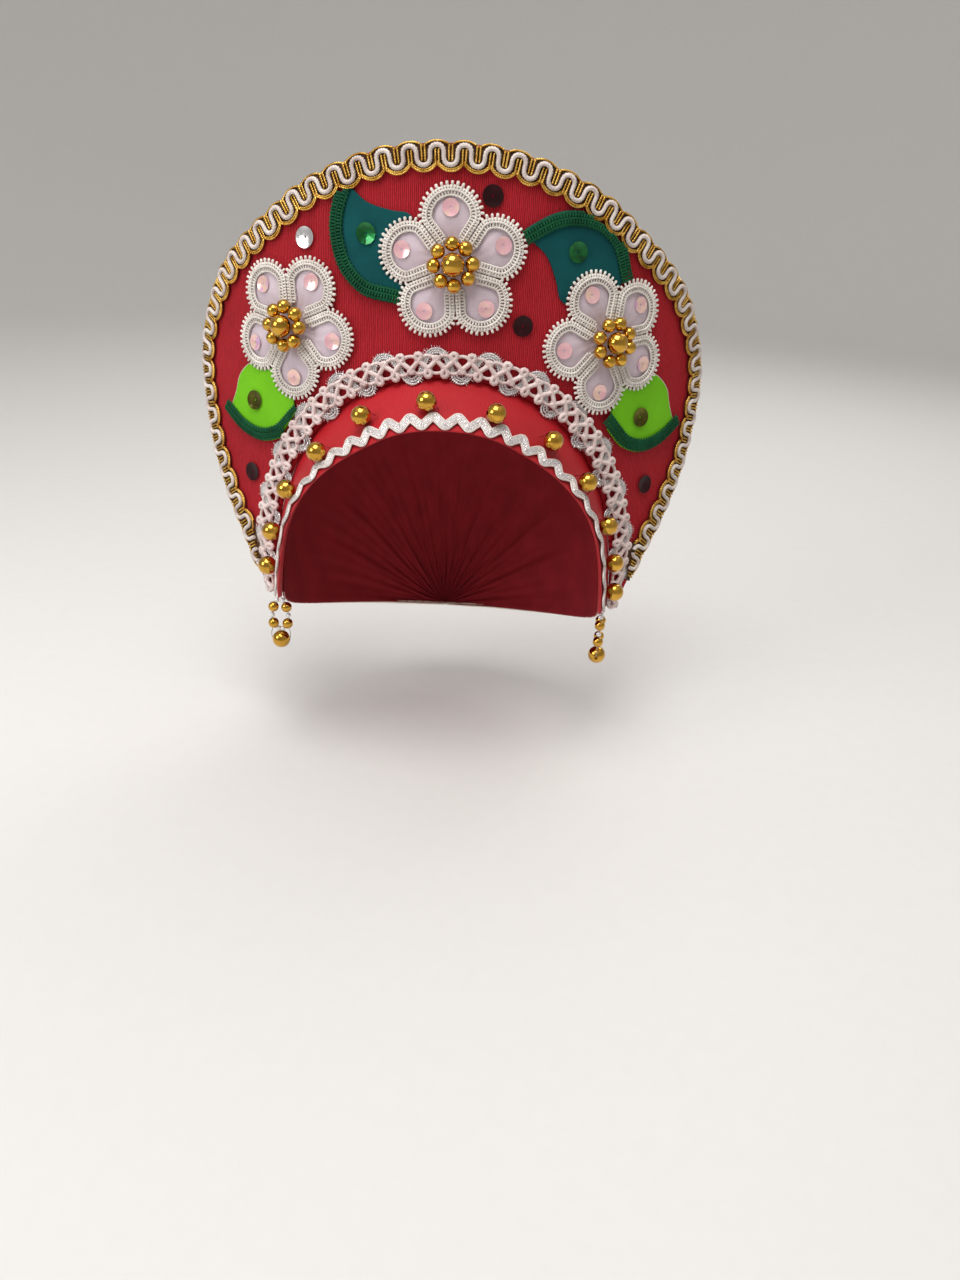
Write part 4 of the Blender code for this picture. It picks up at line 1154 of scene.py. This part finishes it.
def petal_path(inset):
    """Half by half round a petal whose axis points up, from the hub out and back, at an inset from its outline."""
    middle = FLOWER_RADIUS - PETAL_ROUND
    side = inset - PETAL_NEARER if inset > 1.5 * MM else inset
    corner = middle * cos(VALLEY) + sqrt((PETAL_ROUND - inset) ** 2 - (middle * sin(VALLEY) - side) ** 2)
    ray, inward = np.array([sin(VALLEY), cos(VALLEY)]), np.array([-cos(VALLEY), sin(VALLEY)])
    leg = ray * np.linspace(PETAL_HUB + inset * 0.6, corner, 24)[:, None] + inward * side
    start = atan2(leg[-1][0], leg[-1][1] - middle)
    arc = np.linspace(start, 0, 40)[1:]
    bow = np.stack([np.sin(arc) * (PETAL_ROUND - inset), middle + np.cos(arc) * (PETAL_ROUND - inset)], -1)
    half = np.concatenate([leg, bow])
    line = evened(np.concatenate([half, (half * (-1, 1))[-2::-1]]), 0.5 * MM)
    for _ in range(8):
        line[1:-1] = (line[:-2] + 2 * line[1:-1] + line[2:]) / 4
    return line


def flower_lines(flower, line):
    """A petal's flat line, set on each petal of a flower."""
    _, a, b, turn = flower
    centre, lines = np.array(spot(a, b)), []
    for petal in range(PETALS):
        way = turn - 2 * VALLEY * petal
        lines.append(centre + line @ np.array([[cos(way), sin(way)], [-sin(way), cos(way)]]))
    return lines


def round_flower(count):
    """Even angles round a flower, and each one's angle from its petal's middle."""
    columns = np.linspace(0, 2 * pi, count, endpoint=False)
    return columns, (columns + VALLEY) % (2 * VALLEY) - VALLEY


def round_middle(flower, columns, reach):
    """Flat places on the board at angles round a flower and at distances from its middle."""
    _, a, b, turn = flower
    x, y = spot(a, b)
    return np.stack([x - reach * np.sin(turn - columns), y + reach * np.cos(turn - columns)], -1)


def make_petals(flower):
    name, a, b, _ = flower
    centre = spot(a, b)
    columns, angle = round_flower(200)
    reach = lobe(angle, PETAL_ROUND - FLOWER_CORD_WIDTH / 3)[:, None] * np.linspace(0.02, 1, 26)
    flat = round_middle(flower, columns[:, None], reach)
    own = np.stack([reach * np.sin(angle)[:, None], reach * np.cos(angle)[:, None]], -1)
    far = np.hypot(own[..., 0], own[..., 1] - (FLOWER_RADIUS - PETAL_ROUND))
    far = far / (PETAL_ROUND - FLOWER_CORD_WIDTH + 1 * MM)
    dome = np.clip(1 - far**2, 0, 1) ** 1.5 * 1.3 * MM
    folds = 0.12 * MM * np.sin(angle[:, None] * 23 + reach * 300) * np.clip(1.5 - reach / (20 * MM), 0, 1)
    high = GAP + PETAL_CLOTH + dome + folds - 0.12 * MM
    petals = board_sheet(f"petals_{name}_cloth", flat, high, GAP + dome * 0.8, PALE_SATIN, own, wrap=True)
    keep(petals, "pale_satin", f"petals_{name}")

    x, y = np.array([line[0] for line in flower_lines(flower, np.array([[0.0, PETAL_SEQUIN_PLACE]]))]).T
    tilt = np.stack([x - centre[0], y - centre[1]], -1) / PETAL_SEQUIN_PLACE
    here = on_board(x, y)
    out = board_out(x) + 0.09 * unit(on_board(x + 0.01 * tilt[:, 0], y + 0.01 * tilt[:, 1]) - here)
    ways = unit(on_board(x + 0.001 * tilt[:, 1], y - 0.001 * tilt[:, 0]) - here)
    top = on_board(x, y, GAP + PETAL_CLOTH + 0.98 * MM)
    shape = sequin_shape("shape", PETAL_SEQUIN, PINK_SEQUIN)
    keep(sewn_points(f"petal_sequins_{name}", top, unit(out), ways, shape, PINK_SEQUIN), "pale_satin", f"petals_{name}")


def make_flower(flower):
    name, a, b, turn = flower
    make_petals(flower)
    x, y = spot(a, b)
    under = GAP + PETAL_CLOTH + GAP

    def laid(inset, height):
        line = petal_path(inset * MM)
        line = line if inset > 1 else line[30:-30]  # the outer loops stay off the legs
        return board_runs(flower_lines(flower, line), under + height * MM)

    petal_braid = braid(f"petal_braid_{name}", laid, CREAM_CORD, PETAL_BRAID_CORDS, PETAL_BRAID_STITCHES, 2)
    keep(petal_braid, "cream_cord", f"petal_cord_{name}")

    top = under + FLOWER_CORD_THICKNESS
    k = np.arange(RING_BEADS)
    bead_turn = turn + 2 * pi * k / RING_BEADS + 0.05 * (k % 2)
    frame_x = unit(on_board(x + 0.001, y) - on_board(x - 0.001, y))
    frame_y = unit(on_board(x, y + 0.001) - on_board(x, y - 0.001))
    out = board_out(x)
    middle = on_board(x, y, top + GAP + RING_BEAD / 2)
    ring = lambda a, r: middle + r * (-np.sin(a)[:, None] * frame_x + np.cos(a)[:, None] * frame_y)
    ways = -np.cos(bead_turn)[:, None] * frame_x - np.sin(bead_turn)[:, None] * frame_y
    places = ring(bead_turn, RING_RADIUS + 0.1 * MM)
    beads = sewn_beads("beads", places, out, ways, RING_BEAD + RING_BEAD_MORE, RING_BEAD_HOLE, GOLD_BEAD, 0.02)
    circle = ring(np.linspace(0, 2 * pi, 65)[:-1], RING_RADIUS)
    thread = thread_lines("thread", [(circle, out, True)], 0.7 * MM, PALE_EDGE, 0.6 * MM)
    keep(joined(f"bead_ring_{name}_beads", [beads, thread]), "gold_beads", f"bead_ring_{name}")
    centre_bead = sewn_beads(
        f"flower_bead_{name}_gold", [on_board(x, y, top + GAP + LARGE_BEAD / 2 + 0.8 * MM)], out,
        frame_x * 0.9 + frame_y * 0.3, LARGE_BEAD + FLOWER_BEAD_MORE, LARGE_BEAD_HOLE, GOLD_BEAD,
    )
    keep(centre_bead, "gold_beads", f"flower_bead_{name}")


def sequin_shape(name, size, look, facets=False):
    """A cupped round film with a hole in its middle."""
    outer, hole, film = size / 2, 0.55 * MM, 0.09 * MM
    rows = np.linspace(0, 1, 5)
    cup = 0.07 * size
    top = [(hole + (outer - hole) * t, film + cup * t**1.6) for t in rows]
    low = [(r, z - film) for r, z in reversed(top)]
    return turned_shape(name, top + low, 12 if facets else 36, look, flat=facets)


def leaf_lines(leaf):
    _, kind, *tip, turn, side = leaf
    x, y = spot(*tip)
    size, rows = {"upper": (UPPER_LEAF, UPPER_LEAF_ROWS), "lower": (LOWER_LEAF, LOWER_LEAF_ROWS)}[kind]
    rows = np.array(rows)
    lines = []
    for pair in (rows[:, :2], rows[:, 2:]):
        line = smooth_line(pair, 10, level=False) * (side, 1) * size
        lines.append(line @ np.array([[cos(turn), sin(turn)], [-sin(turn), cos(turn)]]) + (x, y))
    return lines


def block(name, flat):
    """A closed block through the board, from an outline."""
    points = np.concatenate([on_board(flat[:, 0], flat[:, 1], h) for h in (8 * MM, -8 * MM)])
    n = len(flat)
    walls = [[k, (k + 1) % n, n + (k + 1) % n, n + k] for k in range(n)]
    faces = [list(range(n)), list(range(2 * n - 1, n - 1, -1))] + walls
    return finish_mesh(name, points, faces, GREEN_CORD, smooth=False)


def cutting_blocks():
    blocks = []
    for flower in FLOWERS:
        columns, angle = round_flower(160)
        blocks.append(block("flower_block", round_middle(flower, columns, lobe(angle, PETAL_ROUND) - 0.6 * MM)))
    share = np.linspace(-1, 1, 240)
    lace = np.concatenate([lace_line(share, -LACE_WIDTH / 2), lace_line(share[::-1], LACE_WIDTH / 2 - 1.5 * MM)])
    share = share * 0.96
    inner_edge = edge_line(share, -EDGE_BRAID_WIDTH / 2 + 0.4 * MM)
    edge = np.concatenate([inner_edge, edge_line(share[::-1], EDGE_BRAID_WIDTH)])
    return blocks + [block("lace_block", lace), block("edge_block", edge)]


def make_leaf(leaf, blocks):
    name, kind, side = leaf[0], leaf[1], leaf[5]
    corded, plain = leaf_lines(leaf)
    rows = np.linspace(0, 1, 15)
    flat = corded[:, None] + (plain - corded)[:, None] * rows[:, None]
    low = GAP + LEAF_CLOTH
    puff = 0.35 * MM * np.sin(pi * rows) * np.ones(len(corded))[:, None]
    teal = kind == "upper"
    look = TEAL_CLOTH if teal else LIME_CLOTH
    piece = board_sheet(f"leaf_{name}_cloth", flat, low + puff - 0.15 * MM, GAP, look, flat, round_edge=0.4)
    for cutter in blocks:
        change = piece.modifiers.new("cut", "BOOLEAN")
        change.operation, change.object, change.solver = "DIFFERENCE", cutter, "EXACT"
    piece = settled(piece.name, piece)
    keep(piece, "teal_cloth" if teal else "lime_cloth", f"leaf_{name}")
    bm = bmesh.new()
    bm.from_mesh(piece.data)
    area = sum(f.calc_area() for f in bm.faces) / 2
    bm.free()
    size, width = (UPPER_LEAF, UPPER_LEAF_CORD) if teal else (LOWER_LEAF, LOWER_LEAF_CORD)

    run_on = lambda end, before, far: end + unit(end - before) * np.linspace(0.5 * MM, far, 8)[:, None]
    before, after = run_on(corded[0], corded[1], 2.5 * MM)[::-1], run_on(corded[-1], corded[-2], 5 * MM)
    line = evened(np.concatenate([before, corded, after]), 0.5 * MM)
    clear = ((off_flowers, -0.5 * MM), (off_lace, -1.5 * MM), (off_edge_braid, -0.2 * MM))
    laid = lambda w, h: board_runs([shifted(line, side * (w * MM))], low + GAP + h * MM, *clear)
    middle, half = width / MM / 2, width / MM / 2 - 0.6
    cords = [
        (middle + aside, height, 1.2, depth, 2.2, 0.4)
        for aside, height, depth in ((-half, 0.6, 0.4), (0, 0.9, 0.45), (half, 0.6, 0.4))
    ]
    stitches = (
        (middle - half / 2, 0.75, 2.2, 1.15, 1.45), (middle + half / 2, 0.75, 2.2, 1.15, 1.45),
        (0.1, 0.45, 1.2, 0.75, 1.9), (width / MM - 0.1, 0.45, 1.0, 0.7, 1.9),
    )
    leaf_braid = braid(f"leaf_braid_{name}", laid, GREEN_CORD, cords, stitches, 7, bow=0.1 * MM)
    keep(leaf_braid, "green_cord", f"leaf_cord_{name}")
    if not teal:
        runs = board_runs([shifted(evened(plain, 0.6 * MM), -side * 0.1 * MM)], low - 0.35 * MM, *clear)
        thread = cord_lines("thread", runs, 0.8 * MM, PALE_EDGE, 3, 0.2, 2 * MM, 0.6 * MM, 7)
        thread.name = f"leaf_edge_{name}"
        keep(thread, "lime_cloth", f"leaf_{name}")


def make_sequins():
    looks = {
        "silver": (SILVER_SEQUIN, "silver_sequin"), "red": (DARK_RED_SEQUIN, "dark_red_sequin"),
        "upper": (GREEN_SEQUIN, "green_sequin"), "lower": (OLIVE_SEQUIN, "olive_sequin"),
    }
    for n, (name, carrier, a, b) in enumerate(SEQUINS):
        kind = name.split("_")[0]
        look, slot = looks[kind]
        x, y = spot(a, b)
        low = GAP if carrier == "board" else GAP + LEAF_CLOTH + GAP
        shape = sequin_shape("shape", SEQUIN, look, facets=kind == "upper")
        way = unit(on_board(x + 0.001, y) - on_board(x, y))
        lean = board_out(x) + 0.05 * way * sin(2.1 * n) + np.array([0, 0, 0.05 * cos(1.7 * n)])
        made = sewn_points(f"sequin_{name}_film", [on_board(x, y, low + 0.1 * MM)], unit(lean), way, shape, look)
        keep(made, slot, f"sequin_{name}")


def bead_inset(share):
    """How far back from the headband's front edge a bead clears the zigzag, in a hollow or by a crest."""
    low = min(1.2 * MM, LARGE_BEAD / 2)
    clear = sqrt(low * (LARGE_BEAD - low)) + BAND_TRIM_GAP
    waves = even(2 * ARCH.half_length, RIC_RAC_PERIOD)
    aside = np.linspace(-1, 1, 17)
    turn = (share + aside * clear / ARCH.half_length + 1) * waves
    wave = RIC_RAC_WAVE * (1 - 2 * np.abs(turn % 2 - 1))
    return np.max(RIC_RAC_INSET - wave + RIC_RAC_WIDTH / 2 + clear * np.sqrt(1 - aside**2))


def make_band_beads():
    share = np.array(BAND_BEADS)
    forward = BAND_DEPTH - np.array([bead_inset(one) for one in BAND_BEADS])
    points = on_band(share, forward, BAND_TRIM_GAP + LARGE_BEAD / 2)
    ways = unit(on_band(share + NEAR, forward, 0.0) - on_band(share - NEAR, forward, 0.0))
    swing = np.sin(np.arange(len(share)) * 2.3)[:, None] * 0.35
    outs = band_outward(share, forward)
    ways = unit(ways + swing * np.cross(outs, ways))
    beads = sewn_beads("headband_beads", points, outs, ways, LARGE_BEAD, LARGE_BEAD_HOLE, GOLD_BEAD, 0.0, 2)
    runs = []
    for middle, out, way in zip(points, outs, ways):
        t = np.linspace(-1, 1, 21)[:, None]
        reach = way * t * 6.1 * MM - out * np.maximum(0, np.abs(t) - 0.72) ** 1.3 * 26 * MM
        runs.append((middle + reach, out, False))
    threads = thread_lines("threads", runs, 0.6 * MM, RED_THREAD)
    nodes = [f"band_bead_{k + 1:02d}" for k in range(len(share))]
    keep(joined("headband_beads", [beads, threads]), "gold_beads", *nodes)


def make_drop(name, share):
    down, turn = np.array([0, 0, 1]), DROP_TURNS[name]
    top = on_band(np.array(float(share)), np.array(BAND_DEPTH - DROP_PLACE), -BAND_WALL / 2)
    top = top - down * (GAP + DROP_THREAD / 2)
    aside, front = np.array([cos(turn), sin(turn), 0.0]), np.array([-sin(turn), cos(turn), 0.0])
    half = np.array(DROP_ROUTE) * MM
    far = far_along(half)
    at = lambda part: np.array([np.interp(part * far[-1], far, half[:, n]) for n in (0, 1)])
    spot_of = lambda side, p: top + aside * side * p[0] - down * p[1]

    def strung(parts, size, hole, look, uneven_by):
        places, ways = [], []
        for side in (1, -1):
            for part in parts:
                places.append(spot_of(side, at(part)))
                step = at(min(1, part + 0.02)) - at(part - 0.02)
                ways.append(unit(aside * side * step[0] - down * step[1]))
        return sewn_beads("beads", places, front, ways, size, hole, look, uneven_by)

    gold = strung(DROP_BEADS, SMALL_BEAD, SMALL_BEAD_HOLE, GOLD_BEAD, 0.02)
    silver = strung(DROP_SEEDS, SEED_BEAD, SEED_BEAD_HOLE, SILVER_BEAD, 0.08)
    low = half[-1][1] + DROP_THREAD / 2 + GAP + LARGE_BEAD / 2
    through = [(4.4, 20.5), (5.3, 24.5), (4.7, low / MM - 0.4), (2.5, low / MM), (0.0, low / MM)]
    route = smooth_line(list(DROP_ROUTE[:5]) + through, 8, level=False) * MM
    line = [spot_of(1, p) for p in route] + [spot_of(-1, p) for p in route[-2:0:-1]]
    thread = thread_lines("thread", [(np.array(line), front, True)], 0.55 * MM, PALE_EDGE)
    keep(joined(f"temple_loop_{name}_beads", [gold, silver, thread]), "gold_beads", f"temple_loop_{name}")
    places, large_name = [top - down * low], f"temple_bead_{name}_gold"
    large = sewn_beads(large_name, places, front, aside, LARGE_BEAD, LARGE_BEAD_HOLE, GOLD_BEAD)
    keep(large, "gold_beads", f"temple_bead_{name}")


# ---------------------------------------------------------------- the photograph's view


def make_camera():
    right = Vector((cos(LOOK_ASIDE), -sin(LOOK_ASIDE), 0))
    ahead = Vector((sin(LOOK_ASIDE) * cos(LOOK_DOWN), cos(LOOK_ASIDE) * cos(LOOK_DOWN), -sin(LOOK_DOWN)))
    over = right.cross(ahead)
    right, over = right * cos(ROLL) + over * sin(ROLL), -right * sin(ROLL) + over * cos(ROLL)
    x, y = FLOWER_IN_PICTURE
    seen = Vector(on_board(*(np.array(v) for v in (0.0, 177 * MM))))
    wide, high = PICTURE
    scale = CAMERA_DISTANCE * SENSOR / LENS / high
    here = seen - ahead * CAMERA_DISTANCE - over * scale * (high / 2 - y) - right * scale * (x - wide / 2)
    data = bpy.data.cameras.new("camera")
    data.lens, data.sensor_width, data.sensor_fit = LENS, SENSOR, "AUTO"
    camera = placed("camera", data)
    camera.matrix_world = Matrix.Translation(here) @ Matrix((right, over, -ahead)).transposed().to_4x4()
    data.clip_start, data.clip_end = 0.01, 60
    bpy.context.scene.camera = camera


def make_studio(low):
    turns = np.linspace(0, pi / 2, 14)
    rise = [(FLOOR_RADIUS + FLOOR_CURVE * sin(t), low + FLOOR_CURVE * (1 - cos(t))) for t in turns]
    inner = [(0.0001, low)] + rise + [(FLOOR_RADIUS + FLOOR_CURVE + 0.1, low + WALL_HEIGHT)]
    outer = [(r + 0.02, z - 0.02) for r, z in reversed(inner)]
    floor = turned_shape("studio_floor", inner + outer, 96, PALE_FLOOR)
    world = bpy.data.worlds.new("studio")
    world.use_nodes = True
    back = world.node_tree.nodes["Background"]
    back.inputs["Color"].default_value = (0.80, 0.79, 0.775, 1)
    back.inputs["Strength"].default_value = 0.72
    bpy.context.scene.world = world
    for name, power, size, where, color in (
        ("softbox_over", 11.5, 0.75, (-0.15, -0.35, 1.1), (1.0, 0.985, 0.96)),
        ("softbox_left", 4.0, 0.5, (-0.9, -0.6, 0.45), (0.97, 0.98, 1.0)),
        ("softbox_behind", 4.0, 0.8, (0.5, 0.9, 0.8), (1.0, 0.98, 0.96)),
    ):
        data = bpy.data.lights.new(name, "AREA")
        data.energy, data.size, data.color = power, size, color
        light = placed(name, data)
        light.location = where
        light.rotation_euler = (-Vector(where)).to_track_quat("-Z", "Y").to_euler()


def make_headdress():
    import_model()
    cad_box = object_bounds()
    make_camera()
    keep(make_board(), "red_crepe", "fan_board")
    keep(make_headband(), "red_satin", "headband")
    cap, stitches = make_cap()
    keep(cap, "red_lining", "cap")
    keep(stitches, "red_lining", "cap")
    make_edge_braid()
    make_lace()
    make_ric_rac()
    for flower in FLOWERS:
        make_flower(flower)
    blocks = cutting_blocks()
    for leaf in LEAVES:
        make_leaf(leaf, blocks)
    for cutter in blocks:
        bpy.data.objects.remove(cutter)
    make_sequins()
    make_band_beads()
    make_drop("left", -1)
    make_drop("right", 1)
    make_studio(cad_box[0].z - FLOOR_DROP)


bpy.context.scene.view_settings.view_transform = "Standard"
make_headdress()
